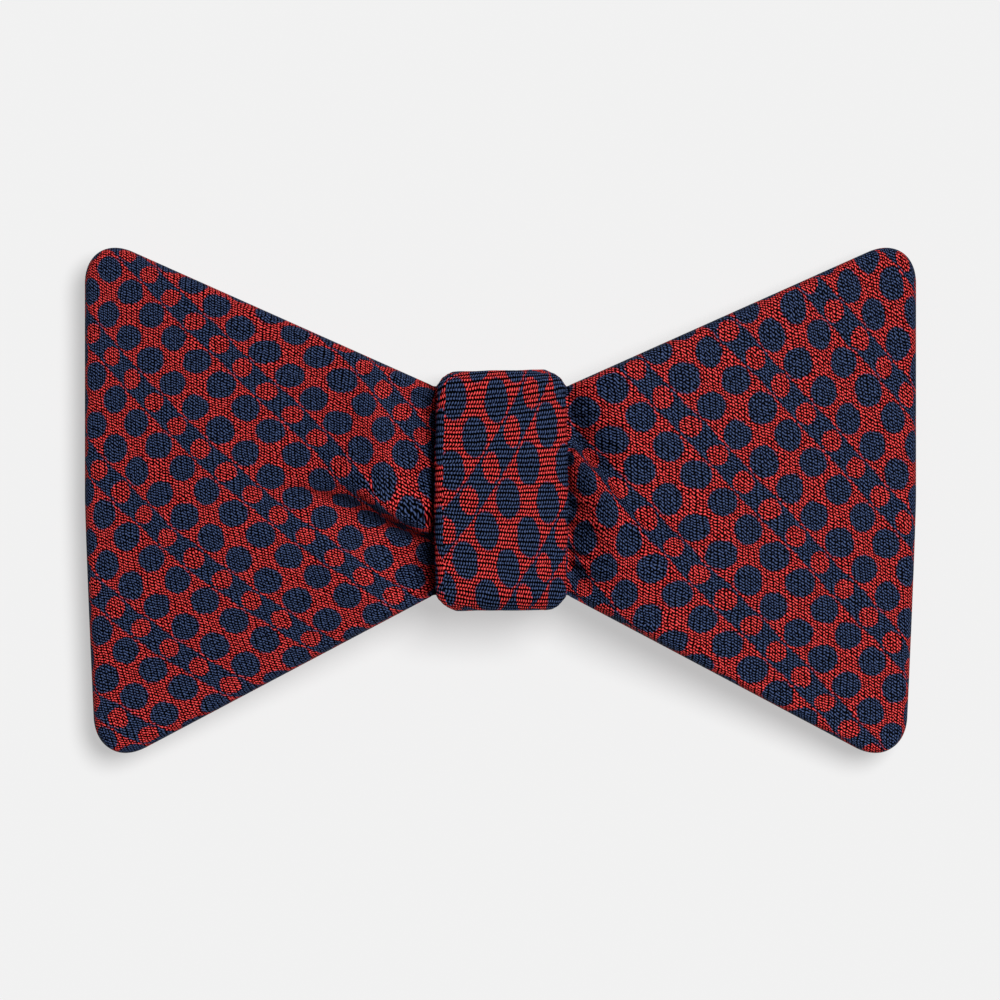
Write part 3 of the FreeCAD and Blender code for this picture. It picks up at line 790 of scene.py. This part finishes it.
LIES = {
    1: Lie(
        (32.63, -0.06),
        (3.0738, 0.6983, -0.7090, 0.003355, 0.004037, 0.002682),
        (0.1209, -0.7208, -0.6970, -0.002548, -0.000676, -0.000064),
        -15.0, 18.0,
    ),
    -1: Lie(
        (-32.755, -0.06),
        (8.7809, 0.77015, -0.74777, -0.002631, -0.00469, -0.003769, 1.364e-4, -1.291e-4, -1.096e-4, -1.89e-5),
        (1.8077, -0.69797, -0.834, 0.000427, -0.00396, 0.002688, -7.66e-5, 6.487e-5, 8.528e-5, -4.461e-5),
        -18.0, 14.0,
    ),
}
WRAP_LIE = Lie(
    (0.377, 1.257),
    (4.3589, 0.96574, 0.5165, 0.006339, -0.003359, -0.002393),
    (2.4668, 0.83241, -0.50781, 0.008683, 0.005051, 0.001456),
    -8.0, 8.0,
)


def to_weave(pattern, bias):
    """From distances along and across the stripes to distances across and along the weave's columns."""
    u, v = pattern[..., 0], pattern[..., 1]
    turn, lean = math.cos(bias), math.sin(bias)
    return np.stack([u * turn - v * lean, -u * lean - v * turn], -1)


def woven(cloth, wander=1.0):
    """The weave's coordinates with the slight wander that woven threads have, in millimetres."""
    x, y = cloth[..., 0], cloth[..., 1]
    rng = np.random.default_rng(11)
    out = np.array(cloth)
    for pitch, reach in ((6.5, 0.06), (2.9, 0.035), (1.6, 0.02)):
        for axis in (0, 1):
            for _ in range(3):
                turn, phase = rng.uniform(0, math.pi), rng.uniform(0, math.tau)
                way = (x * math.cos(turn) + y * math.sin(turn)) * math.tau / pitch / rng.uniform(0.8, 1.25)
                out[..., axis] += wander * reach * np.sin(way + phase)
    return out


def wing_cloth(bow, flat, bias):
    """The weave's coordinates over a bow's front."""
    out = np.where((bow.side > 0)[..., None], LIES[1].pattern(flat), LIES[-1].pattern(flat))
    return to_weave(out, bias)


def relaxed(name, points, hold, spare, frames=18):
    """Lets a sheet settle by cloth simulation. hold is how firmly each point stays, spare where cloth is added."""
    size = 20.0  # the simulation works on a sheet this much larger
    rows, columns = points.shape[:2]
    mesh = bpy.data.meshes.new(name)
    mesh.from_pydata((points.reshape(-1, 3) * MM * size).tolist(), [], quads(rows, columns).tolist())
    sheet = bpy.data.objects.new(name, mesh)
    bpy.context.scene.collection.objects.link(sheet)
    for label, weights in (("hold", hold), ("spare", spare)):
        group = sheet.vertex_groups.new(name=label)
        for number, weight in enumerate(np.clip(weights, 0, 1).ravel().tolist()):
            group.add([number], weight, "REPLACE")
    cloth = sheet.modifiers.new("Cloth", "CLOTH")
    cloth.settings.quality = 5
    cloth.settings.mass = 0.05
    cloth.settings.tension_stiffness = 25
    cloth.settings.compression_stiffness = 25
    cloth.settings.shear_stiffness = 10
    cloth.settings.bending_stiffness = 0.6
    cloth.settings.tension_damping = 12
    cloth.settings.compression_damping = 12
    cloth.settings.bending_damping = 2
    cloth.settings.air_damping = 3
    cloth.settings.vertex_group_mass = "hold"
    cloth.settings.pin_stiffness = 6
    cloth.settings.vertex_group_shrink = "spare"
    cloth.settings.shrink_min = 0.0
    cloth.settings.shrink_max = -float(properties().bows.fullness)
    cloth.settings.effector_weights.gravity = 0.0
    cloth.collision_settings.use_collision = False
    cloth.point_cache.frame_end = frames + 2
    scene = bpy.context.scene
    for number in range(1, frames + 1):
        scene.frame_set(number)
    found = sheet.evaluated_get(bpy.context.evaluated_depsgraph_get()).to_mesh()
    out = np.empty(len(found.vertices) * 3)
    found.vertices.foreach_get("co", out)
    scene.frame_set(1)
    bpy.data.objects.remove(sheet, do_unlink=True)
    bpy.data.meshes.remove(mesh)
    out = out.reshape(points.shape) / (MM * size)
    if not np.isfinite(out).all():
        raise RuntimeError(f"the simulation of {name} gave a point that isn't finite")
    move = out - points
    far = np.linalg.norm(move, axis=-1, keepdims=True)
    return points + move * np.minimum(1, 2.5 / np.maximum(far, 1e-9))


def shell(name, face, back, face_cloth, back_cloth, material):
    """A flat bag: two grids that share their outline."""
    rows, columns = face.shape[:2]
    total = rows * columns
    number = np.arange(total).reshape(rows, columns)
    rim = np.ones((rows, columns), bool)
    rim[1:-1, 1:-1] = False
    under = np.where(rim, number, 0)
    under[~rim] = total + np.arange((~rim).sum())
    points = np.concatenate([face.reshape(-1, 3), back[~rim]])
    grid = quads(rows, columns)
    faces = np.concatenate([grid, under.ravel()[grid][:, ::-1]])
    uv = np.concatenate([face_cloth.reshape(-1, 2)[grid.ravel()],
                         back_cloth.reshape(-1, 2)[grid[:, ::-1].ravel()]])
    return make_mesh(name, points, faces, material, uv)


def settled(name, points, bow, spare_reach=9.0):
    """A panel after its simulation, its outline and its waist held where they are."""
    edge = np.minimum(np.minimum(bow.d_top, bow.d_low), bow.d_out)
    hold = np.maximum(np.clip(1 - (edge - 0.8) / 1.4, 0.06, 1), np.clip(1 - (bow.beyond - 0.3) / 1.2, 0, 1))
    hold = np.maximum(hold, np.clip((bow.beyond - 18) / 8, 0, 1))
    spare = np.exp(-((bow.beyond / spare_reach) ** 2)) * (1 - np.clip(hold, 0, 1) ** 2)
    return relaxed(name, points, hold, spare)


def panel_heights(bow, waist, wing):
    """A level that falls in a line from the waist to the wings' tips."""
    return waist + (wing - waist) * bow.beyond / (bow.tip - bow.knot)


def make_front_bow(p, materials):
    """The front bow: a flat silk bag whose face is folded and gathered beside the wrap."""
    shape = shape_of(p.bows)
    bow = Bow(shape, FRONT_BOX)
    face_waist, face_tip = FRONT_BOX[1][2], FRONT_BOX[0][2] + 0.45
    back_waist, back_tip = BACK_BOX[1][2] - 1.2, BACK_BOX[0][2]
    top = panel_heights(bow, face_waist, face_tip)
    low = panel_heights(bow, back_waist, back_tip) - pocket(bow) * bow.roll(FOLD_FADE)
    middle = (top + low) / 2
    roll = bow.roll(shape.edge_roll)
    crown = (1 - bow.eta**2) * np.clip(bow.d_out / 14, 0, 1) * np.clip(bow.beyond / 6, 0, 1)
    moved = front_folds(bow) * shape.fold_depth * bow.roll(FOLD_FADE)[..., None]
    face_z = middle + (top - middle) * roll + moved[..., 2] + crown * shape.puff * bow.roll(3.2)
    face_z = np.where(bow.roll(0.7) > 0.95, above(face_z, low + 0.5), face_z)
    back_z = middle - (middle - low) * roll
    cloth = woven(wing_cloth(bow, gathered(bow), p.silk.bias))
    face = np.stack([bow.x + moved[..., 0], bow.y + moved[..., 1], face_z], -1)
    face = settled("front face", face, bow)
    back = np.stack([bow.x, bow.y, back_z], -1)
    rim = np.ones(bow.x.shape, bool)
    rim[1:-1, 1:-1] = False
    back[rim] = face[rim]
    seen = np.stack([bow.x, bow.y], -1)
    behind = woven((seen - bow.over_edge(EDGE_TURN)) * (-1, 1))
    silk_piece = shell(
        "front_bow_silk", finer(face), finer(back), finer(cloth), finer(behind), materials["silk"]
    )
    place(silk_piece, "silk", "front_bow_face", "front_bow_back")
    2 * bow.tip * MM
    2 * bow.top * MM
    lining = Bow(shape, FRONT_BOX, inset=LINING_INSET, trim=LINING_TRIM, rows=41, columns=30)
    make_lining("front_bow_lining", lining, back_waist, back_tip, face_waist, face_tip, materials,
                "front_bow_interlining", folds_of=front_folds)


def make_lining(name, bow, low_waist, low_tip, top_waist, top_tip, materials, node, folds_of):
    """An interlining: a flat sheet inside its bow that follows the bow's folds a little way in."""
    low = panel_heights(bow, low_waist, low_tip) - pocket(bow)
    top = panel_heights(bow, top_waist, top_tip)
    middle = (low + top) / 2
    half = (top - low) * 0.18 * bow.roll(0.8)
    sunk = np.clip((14 - bow.beyond) / 10, 0, 1)
    middle = middle - (middle - low - 0.14) * sunk
    half = half * (1 - sunk) + 0.08 * sunk
    sag = np.minimum(folds_of(bow)[..., 2] * 0.3, 0) * (1 - sunk)
    face = np.stack([bow.x, bow.y, middle + half + sag], -1)
    back = np.stack([bow.x, bow.y, middle - half + sag], -1)
    flat = np.stack([bow.x, bow.y], -1)
    piece = shell(name, face, back, flat, flat, materials["lining"])
    place(piece, "interlining", node)
    2 * bow.tip * MM
    2 * bow.top * MM


def properties():
    """The sizes and colours a user has set."""
    return bpy.context.scene.bow_tie


def materials():
    """The finishes, made once."""
    made = getattr(materials, "made", None)
    if made is None:
        p = properties()
        made = {
            "silk": silk("woven silk", shape_of(p.silk)),
            # The wrap's silk has deeper painted shade between its stretched rib columns, and more even strands.
            "stretched": silk("stretched silk", shape_of(p.silk), ribs=1.7, uneven=0.7),
            "lining": lining_finish("interlining"),
            "steel": nickel("nickel plate", (0.74, 0.73, 0.70), 0.3),
            "pin": nickel("nickel pin", (0.66, 0.65, 0.63), 0.26),
            "wire": nickel("spring wire", (0.52, 0.52, 0.52), 0.22),
            "thread": thread_finish("sewing thread", (0.03, 0.04, 0.09)),
            "label": satin_finish("label satin"),
            "table": table_finish("matt table", p.stage.table, p.stage.glow),
        }
        materials.made = made
    return made


def make_rear_bow(p, made):
    """The rear bow: level over the clip, then falling to its tips."""
    shape = shape_of(p.bows)
    inset = FRONT_BOX[1][0] - REAR_BOX[1][0]
    bow = Bow(shape, FRONT_BOX, inset=inset)

    low_z, tip_z = REAR_BOX[0][2] + REAR_LOW, REAR_BOX[0][2]

    def levels(grid):
        """Heights of the underside and the face: level over the clip, then falling to the tips."""
        x = grid.knot + grid.beyond
        places = [grid.knot, LEVEL_END, grid.tip]
        face = [low_z + REAR_WAIST_PLY, low_z + REAR_WING_PLY, tip_z + REAR_WING_PLY]
        return np.interp(x, places, [low_z, low_z, tip_z]), np.interp(x, places, face)

    low, top = levels(bow)
    top = top - pocket(bow) * bow.roll(FOLD_FADE)
    middle = (top + low) / 2
    roll = bow.roll(shape.edge_roll)
    over_clip = np.clip((bow.beyond - 16) / 4, 0, 1) + np.clip((abs(bow.y - shape.rise) - 6.2) / 2.5, 0, 1)
    pull = rear_folds(bow) * np.clip(over_clip, 0, 1) * (1 - np.clip(pocket(bow), 0, 1))
    face_z = middle + (top - middle) * roll
    back_z = middle - (middle - low) * roll - pull * bow.roll(3.0) * 0.9
    seen = np.stack([bow.x, bow.y], -1)
    turned = bow.over_edge(EDGE_TURN)
    flat = woven(seen + turned + (3.1, -1.7))
    behind = woven((seen - turned) * (-1, 1) + (1.3, 2.2))
    face = np.stack([bow.x, bow.y, face_z], -1)
    back = settled("rear back", np.stack([bow.x, bow.y, back_z], -1), bow)
    rim = np.ones(bow.x.shape, bool)
    rim[1:-1, 1:-1] = False
    back[rim] = face[rim]
    piece = shell("rear_bow_silk", finer(face), finer(back), finer(flat), finer(behind), made["silk"])
    place(piece, "silk", "rear_bow_face", "rear_bow_back")
    2 * bow.tip * MM
    2 * bow.top * MM
    lining = Bow(shape, FRONT_BOX, inset=inset + LINING_INSET, trim=LINING_TRIM, rows=41, columns=30)
    low, top = levels(lining)
    top = top - pocket(lining)
    half = (top - low) * 0.2 * lining.roll(0.8)
    middle = (top + low) / 2
    grids = [np.stack([lining.x, lining.y, middle + sign * half], -1) for sign in (1, -1)]
    flat = np.stack([lining.x, lining.y], -1)
    piece = shell("rear_bow_lining", *grids, flat, flat, made["lining"])
    place(piece, "interlining", "rear_bow_interlining")
    2 * lining.tip * MM
    2 * lining.top * MM


# The wrap

WRAP_EASE = 0.12  # how much smaller the wrap is than its box, each side, before its ribs are added
WRAP_SHIFT = 0.1  # how far the wrap sits towards the right wing
FRONT_REACH = 13.0  # how far up and down the wrap's front its pattern is stretched unevenly
WRAP_WANDER = 0.35  # its threads are pulled straighter than the wings'


def ring_path(half, low, high, bend, step):
    """Points round a rounded rectangle in Y and Z, their outward directions and the distance round to each.

    The path starts in the middle of the back and goes up the +Y side first."""
    corners = [((half - bend), low + bend, -90), ((half - bend), high - bend, 0),
               (-(half - bend), high - bend, 90), (-(half - bend), low + bend, 180)]
    points = [(0.0, low)]
    for cy, cz, start in corners:
        for angle in np.radians(np.linspace(start, start + 90, 25)):
            points.append((cy + bend * math.cos(angle), cz + bend * math.sin(angle)))
    points.append((0.0, low))
    points = np.array(points)
    run = np.concatenate([[0], np.cumsum(np.linalg.norm(np.diff(points, axis=0), axis=1))])
    count = int(round(run[-1] / step))
    s = np.linspace(0, run[-1], count, endpoint=False)
    spots = np.stack([np.interp(s, run, points[:, k]) for k in (0, 1)], -1)
    ahead = np.roll(spots, -1, 0) - np.roll(spots, 1, 0)
    ahead /= np.linalg.norm(ahead, axis=1, keepdims=True)
    ways = np.stack([ahead[:, 1], -ahead[:, 0]], -1)
    return spots, ways, s, run[-1]


def smooth_noise(rng, count, size):
    """Smooth random numbers about 0, with a length of about size samples, that join up end to end."""
    raw = rng.standard_normal(count)
    freq = np.fft.rfftfreq(count)
    out = np.fft.irfft(np.fft.rfft(raw) * np.exp(-((freq * size) ** 2) * 4), count)
    return out / max(out.std(), 1e-9)


def make_wrap(p, made):
    """The silk wrap: a ribbed band with turned sides, closed round the waist."""
    shape = shape_of(p.wrap)
    low_box, high_box = WRAP_BOX
    rise = (low_box[1] + high_box[1]) / 2
    half = (high_box[1] - low_box[1]) / 2 - WRAP_EASE
    wide = (high_box[0] - low_box[0]) / 2 - WRAP_EASE
    spots, ways, run, total = ring_path(half, low_box[2], high_box[2], shape.bend, 0.1)
    rng = np.random.default_rng(7)
    y, z = spots.T
    inset = np.clip(np.abs(y) - (half - shape.corner), 0, shape.corner)
    narrow = shape.corner - np.sqrt(np.maximum(shape.corner**2 - inset**2, 0))
    front = np.clip((z - low_box[2]) / (high_box[2] - low_box[2]), 0, 1)
    barrel = 0.28 * (1 - (y / half) ** 2) - 0.22 * np.clip(y / half, 0, 1)
    reach = wide - narrow + (barrel - 0.08) * front
    ripple = smooth_noise(rng, len(run), 4) * 0.05
    # Section of the band: out along the front, round each turned side, and back along the inside.
    r, deep, ply = shape.side_roll, shape.side_depth, shape.ply
    quarter = np.radians(np.linspace(0, 90, 7))[1:]
    flat_x = np.linspace(-1, 1, 45)
    outer = [(x, 0.0, 0.0) for x in flat_x]
    outer += [(1, r * math.sin(a), -r * (1 - math.cos(a))) for a in quarter]
    outer += [(1, r, -r - (deep - r) * t) for t in (0.5, 1)]
    inner = [(1, r - ply, -deep), (1, r - ply, -r)]
    inner += [(1, (r - ply) * math.sin(a), -ply - (r - ply) * (1 - math.cos(a))) for a in quarter[::-1][1:]]
    inner += [(x, 0.0, -ply) for x in flat_x[::-4]]
    inner += [(-k, -dx, dn) for k, dx, dn in inner[:len(inner) - len(flat_x[::-4])][::-1]]
    tail = [(-k, -dx, dn) for k, dx, dn in outer[len(flat_x):]][::-1]
    section = np.array([*outer, *inner, *tail])
    skin = np.array([1.0] * len(outer) + [0.0] * len(inner) + [1.0] * len(tail))
    core = reach - r
    x = section[None, :, 0] * core[:, None] + section[None, :, 1]
    away = np.broadcast_to(section[None, :, 2], x.shape).copy()
    # The cloth's place: across the band, and along it from the middle of the front.
    spread = np.concatenate([[0], np.cumsum(np.hypot(np.diff(section[:, 0] * (wide - r) + section[:, 1]),
                                                     np.diff(section[:, 2])))])
    flat = np.stack(np.broadcast_arrays(spread[None, :] - spread[22] + WRAP_LIE.centre[0],
                                        (rise + total / 2 - run)[:, None]), -1)
    held = flat.copy()
    held[..., 1] = rise + np.clip(flat[..., 1] - rise, -FRONT_REACH, FRONT_REACH)
    pattern = WRAP_LIE.pattern(held) + (flat - held)[..., 1:] * np.array([WRAP_LIE.along[2], WRAP_LIE.across[2]])
    cloth = woven(to_weave(pattern, p.silk.bias), WRAP_WANDER)
    column = 2 * cloth[..., 0] / (p.silk.column / MM) + WEAVE_SHADING[2][3] / 360
    strength = 0.85 + 0.3 * smooth_noise(rng, len(run), 10)[:, None] * np.cos(x / 4 + run[:, None] / 3)
    ribs = shape.rib * strength * (np.abs(np.cos(math.pi * column)) ** 0.75 * 2 - 1)
    wrinkle = 0.10 * smooth_noise(rng, len(run), 14)[:, None]
    wrinkle = wrinkle * np.cos(x / 2.6 + smooth_noise(rng, len(run), 40)[:, None])
    crown = 0.55 * (1 - (x / wide) ** 2) * np.clip((front - 0.8) * 5, 0, 1)[:, None]
    away += skin[None] * (ribs + wrinkle) + crown * (0.4 + 0.6 * skin[None])
    x = x + ripple[:, None] * section[None, :, 0]
    points = np.stack([
        x,
        rise + spots[:, None, 0] + ways[:, None, 0] * away,
        spots[:, None, 1] + ways[:, None, 1] * away,
    ], -1)
    points[..., 0] += (low_box[0] + high_box[0]) / 2 + WRAP_SHIFT
    rows, columns = x.shape
    faces = quads(rows, columns, close_rows=True, close_columns=True)
    uv = cloth.reshape(-1, 2)[faces.ravel()].reshape(-1, 4, 2)
    # The last row and column of faces join up with the first, so their cloth runs on past the end.
    step_row = cloth[-1] - cloth[-2]
    uv = uv.reshape(rows, columns, 4, 2)
    uv[-1, :, 1] = cloth[-1] + step_row
    uv[-1, :, 2] = np.roll(cloth[-1] + step_row, -1, 0)
    uv[:, -1, 2] = uv[:, -1, 1] + (cloth[:, -1] - cloth[:, -2])
    uv[:, -1, 3] = uv[:, -1, 0] + (cloth[:, -1] - cloth[:, -2])
    piece = make_mesh("knot_wrap_silk", points.reshape(-1, 3), faces, made["stretched"], uv.reshape(-1, 2))
    piece.data.flip_normals()
    place(piece, "silk", "knot_wrap")
    (2 * wide + 2 * deep) * MM
    make_wrap_lining(made, rise, half)


def make_wrap_lining(made, rise, half):
    """The strip of interlining under the wrap."""
    low, high = node_box("knot_interlining")
    spots, ways, run, total = ring_path((high[1] - low[1]) / 2, low[2], high[2], 2.05, 0.5)
    reach = (high[0] - low[0]) / 2 - 1.0
    section = np.array([(-1, -0.05), (0, -0.05), (1, -0.05), (1, -0.95), (0, -0.95), (-1, -0.95)])
    toward_end = eased((np.abs(spots[:, 0]) - (half - 4.5)) / 4.5)
    x = section[None, :, 0] * (reach - 2.2 * toward_end)[:, None]
    away = section[None, :, 1]
    points = np.stack([
        x, rise + spots[:, None, 0] + ways[:, None, 0] * away, spots[:, None, 1] + ways[:, None, 1] * away
    ], -1)
    faces = quads(len(run), 6, close_rows=True, close_columns=True)
    cloth = np.stack(np.broadcast_arrays(x, run[:, None]), -1)
    uv = cloth.reshape(-1, 2)[faces.ravel()]
    piece = make_mesh("knot_lining", points.reshape(-1, 3), faces, made["lining"], uv)
    piece.data.flip_normals()
    place(piece, "interlining", "knot_interlining")
    2 * reach * MM


# Threads, label and springs


def arched(start, end, lift, count=9):
    """A path that rises out of the cloth at its start and sinks at its end."""
    t = np.linspace(0, 1, count)[:, None]
    path = np.array(start) * (1 - t) + np.array(end) * t
    return path + np.array(lift) * np.sin(t * math.pi) ** 0.6


def make_threads(made):
    """The gathering thread, the wrap's closing stitches and the clip's tacking."""
    low, high = THREAD_BOX
    parts = []
    for number in range(5):
        x = (number - 2) * 0.6
        spots, _, _, _ = ring_path((high[1] - low[1]) / 2 - 0.2, low[2] + 0.2, high[2] - 0.2, 0.8, 0.4)
        path = np.stack([np.full(len(spots), x), spots[:, 0] + (low[1] + high[1]) / 2, spots[:, 1]], -1)
        parts.append(tube(path, 0.19, 8, closed=True))
    place(make_tubes("gather_thread_turns", parts, made["thread"]), "thread", "gather_thread")

    low, high = node_box("knot_stitches")
    parts = []
    rng = np.random.default_rng(3)
    count = 6
    for number in range(count):
        middle = low[0] + (number + 0.5) * (high[0] - low[0]) / count
        lean, stray = 0.42 + rng.normal(0, 0.05), rng.normal(0, 0.08)
        y0, y1 = low[1] + stray, high[1] + stray
        path = arched((middle - lean, y0, high[2] + 0.25), (middle + lean, y1, high[2] + 0.25), (0, 0, -0.42))
        parts.append(tube(path, 0.17, 8, twist=1.1))
    place(make_tubes("knot_closing_stitches", parts, made["thread"]), "thread", "knot_stitches")

    low, high = node_box("clip_tack_thread")
    parts = []
    for side in (-1, 1):
        x = side * 10.6
        for stray in (-0.13, 0.13):
            # Down through the first hole, under the plate and up through the second.
            y0, y1 = 1.25 - 1.5, 1.25 + 1.5
            path = [(x + stray, y0, 6.6), (x + stray, y0, 5.9), (x + stray, y0 - 0.05, 5.3), (x + stray, y0 + 0.2, 5.0),
                    (x + stray * 1.3, 1.25, 4.93), (x + stray, y1 - 0.2, 5.0), (x + stray, y1 + 0.05, 5.3),
                    (x + stray, y1, 5.9), (x + stray, y1, 6.6)]
            parts.append(tube(smoothed(path), 0.14, 8, twist=1.3))
    place(make_tubes("clip_tacking", parts, made["thread"]), "thread", "clip_tack_thread")


def smoothed(path, rounds=2):
    """A path with its corners cut, ends kept."""
    path = np.array(path, float)
    for _ in range(rounds):
        a = path[:-1] * 0.75 + path[1:] * 0.25
        b = path[:-1] * 0.25 + path[1:] * 0.75
        path = np.concatenate([path[:1], np.stack([a, b], 1).reshape(-1, 3)[1:-1], path[-1:]])
    return path


def make_label(made):
    """A small blank satin tab, slightly bowed between its end stitches."""
    low, high = node_box("care_label")
    count = 33
    u, v = np.meshgrid(np.linspace(0, 1, count), np.linspace(0, 1, 21), indexing="ij")
    x = low[0] + (high[0] - low[0]) * u
    y = low[1] + (high[1] - low[1]) * v
    bow = 0.16 * np.sin(u * math.pi) ** 2 * (0.7 + 0.3 * np.cos(v * math.tau)) + 0.05 * np.sin(u * 9 + v * 4)
    selvedge = 0.05 * (np.abs(v - 0.5) > 0.44)
    under = high[2] - 0.16 - bow * 0.3
    face = np.stack([x, y, under], -1)
    back = np.stack([x, y, under - 0.18 - bow - selvedge], -1)
    cloth = np.stack([x, y], -1)
    piece = shell("care_label_satin", face, back, cloth, cloth, made["label"])
    place(piece, "label", "care_label")
    s_low, s_high = node_box("label_stitches")
    parts = []
    for x in (s_low[0] + 0.2, s_high[0] - 0.2):
        for start, end in ((0.0, 0.32), (0.36, 0.66), (0.7, 1.0)):
            y0, y1 = (s_low[1] - 0.8 + (s_high[1] - s_low[1] + 1.6) * t for t in (start, end))
            path = arched((x, y0, s_high[2] + 0.2), (x + 0.05, y1, s_high[2] + 0.2), (0, 0, -0.42))
            parts.append(tube(path, 0.13, 8, twist=1.3))
    place(make_tubes("label_end_stitches", parts, made["thread"]), "thread", "label_stitches")


def make_springs(made):
    """A torsion spring round each pin, whose legs press the lever away from the base plate."""
    for side, sign in SIDES.items():
        low, high = node_box(f"spring_{side}")
        wire = 0.45
        coil, turns, pitch = 1.4, 5.5, 0.46
        pivot, depth, rise = sign * 14.5, 2.6, (low[1] + high[1]) / 2
        angle = np.linspace(0, turns * math.tau, int(turns * 28)) + math.pi / 2
        y = rise + (angle - angle[0]) / math.tau * pitch - turns * pitch / 2
        helix = np.stack([pivot + sign * coil * np.cos(angle), y, depth + coil * np.sin(angle)], -1)
        inward = low[0] if sign > 0 else high[0]
        top = [(inward, y[0], high[2] - wire / 2), (pivot - sign * 1.2, y[0], depth + coil + 0.35)]
        under = [(pivot - sign * 1.2, y[-1], depth - coil - 0.1), (inward, y[-1], low[2] + wire / 2)]
        path = np.concatenate([smoothed([*top, helix[0]], 2)[:-1], helix, smoothed([helix[-1], *under], 2)[1:]])
        piece = make_tubes(f"spring_coil_{side}", [tube(path, wire / 2, 12)], made["wire"])
        place(piece, "spring_steel", f"spring_{side}", body=None)
        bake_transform(piece)


class MakeFrontBow(bpy.types.Operator):
    """Makes the front bow's silk and its interlining"""

    bl_idname = "bow_tie.front_bow"
    bl_label = "Front bow"

    def execute(self, context):
        make_front_bow(properties(), materials())
        return {"FINISHED"}


class MakeRearBow(bpy.types.Operator):
    """Makes the rear bow's silk and its interlining"""

    bl_idname = "bow_tie.rear_bow"
    bl_label = "Rear bow"

    def execute(self, context):
        make_rear_bow(properties(), materials())
        return {"FINISHED"}


class MakeWrap(bpy.types.Operator):
    """Makes the wrap round the waist and its lining"""

    bl_idname = "bow_tie.wrap"
    bl_label = "Wrap"

    def execute(self, context):
        make_wrap(properties(), materials())
        return {"FINISHED"}


class MakeThreads(bpy.types.Operator):
    """Makes the gathering thread, the closing stitches and the tacking"""

    bl_idname = "bow_tie.threads"
    bl_label = "Threads"

    def execute(self, context):
        make_threads(materials())
        return {"FINISHED"}


class MakeLabel(bpy.types.Operator):
    """Makes the blank label and its stitches"""

    bl_idname = "bow_tie.label"
    bl_label = "Label"

    def execute(self, context):
        make_label(materials())
        return {"FINISHED"}


class MakeClip(bpy.types.Operator):
    """Plates the clip and makes its two springs"""

    bl_idname = "bow_tie.clip"
    bl_label = "Clip and springs"

    def execute(self, context):
        made = materials()
        for node in ("clip_base", "clip_jaw_left", "clip_jaw_right", "hinge_pin_left", "hinge_pin_right"):
            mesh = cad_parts[node].data
            mesh.materials.clear()
            mesh.materials.append(made["pin" if "pin" in node else "steel"])
        make_springs(made)
        return {"FINISHED"}


class MakeStage(bpy.types.Operator):
    """Makes the table, the lights and the camera"""

    bl_idname = "bow_tie.stage"
    bl_label = "Stage"

    def execute(self, context):
        p = shape_of(properties().stage)
        side = 1.5
        corners = [(-side, -side, 0), (side, -side, 0), (side, side, 0), (-side, side, 0)]
        mesh = bpy.data.meshes.new("table")
        mesh.from_pydata(corners, [], [(0, 1, 2, 3)])
        mesh.materials.append(materials()["table"])
        table = bpy.data.objects.new("table", mesh)
        context.scene.collection.objects.link(table)
        lamp = bpy.data.lights.new("main light", "SUN")
        lamp.energy = p.sun
        lamp.angle = p.softness
        light = bpy.data.objects.new("main light", lamp)
        light.rotation_euler = (0, p.tilt, p.heading)
        context.scene.collection.objects.link(light)
        world = bpy.data.worlds.new("studio")
        world.use_nodes = True
        world.node_tree.nodes["Background"].inputs["Color"].default_value = (1, 1, 1, 1)
        world.node_tree.nodes["Background"].inputs["Strength"].default_value = p.sky
        context.scene.world = world
        lens = bpy.data.cameras.new("camera")
        lens.lens = p.lens
        lens.sensor_width = SENSOR
        distance = p.view_width * p.lens / SENSOR * MM
        lens.clip_end = distance + 5
        camera = bpy.data.objects.new("camera", lens)
        camera.location = (-0.06 * MM, 0.07 * MM, distance + 8 * MM)
        context.scene.collection.objects.link(camera)
        context.scene.camera = camera
        context.scene.view_settings.view_transform = "Standard"
        return {"FINISHED"}


STEPS = (MakeRearBow, MakeFrontBow, MakeWrap, MakeThreads, MakeLabel, MakeClip, MakeStage)


class BowTiePanel(bpy.types.Panel):
    """Lists the pieces and their sizes"""

    bl_idname = "VIEW3D_PT_bow_tie"
    bl_label = "Bow Tie"
    bl_space_type = "VIEW_3D"
    bl_region_type = "UI"
    bl_category = "Bow Tie"

    def draw(self, context):
        for part in ("bows", "wrap", "silk", "stage"):
            box = self.layout.box()
            group = getattr(properties(), part)
            box.label(text=part.title())
            for prop in group.bl_rna.properties:
                if prop.identifier not in ("rna_type", "name"):
                    box.prop(group, prop.identifier)
        for step in STEPS:
            self.layout.operator(step.bl_idname)


CLASSES = (BowShape, WrapShape, SilkCloth, StageShape, BowTie, *STEPS, BowTiePanel)


def register():
    for made in CLASSES:
        bpy.utils.register_class(made)
    bpy.types.Scene.bow_tie = bpy.props.PointerProperty(
        name="Bow tie", description="Sizes and colours of the bow tie", type=BowTie
    )


def unregister():
    del bpy.types.Scene.bow_tie
    for made in reversed(CLASSES):
        bpy.utils.unregister_class(made)


def main():
    """Makes every piece in order."""
    register()
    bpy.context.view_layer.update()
    for step in STEPS:
        group, name = step.bl_idname.split(".")
        getattr(getattr(bpy.ops, group), name)()


if __name__ == "__main__":
    main()
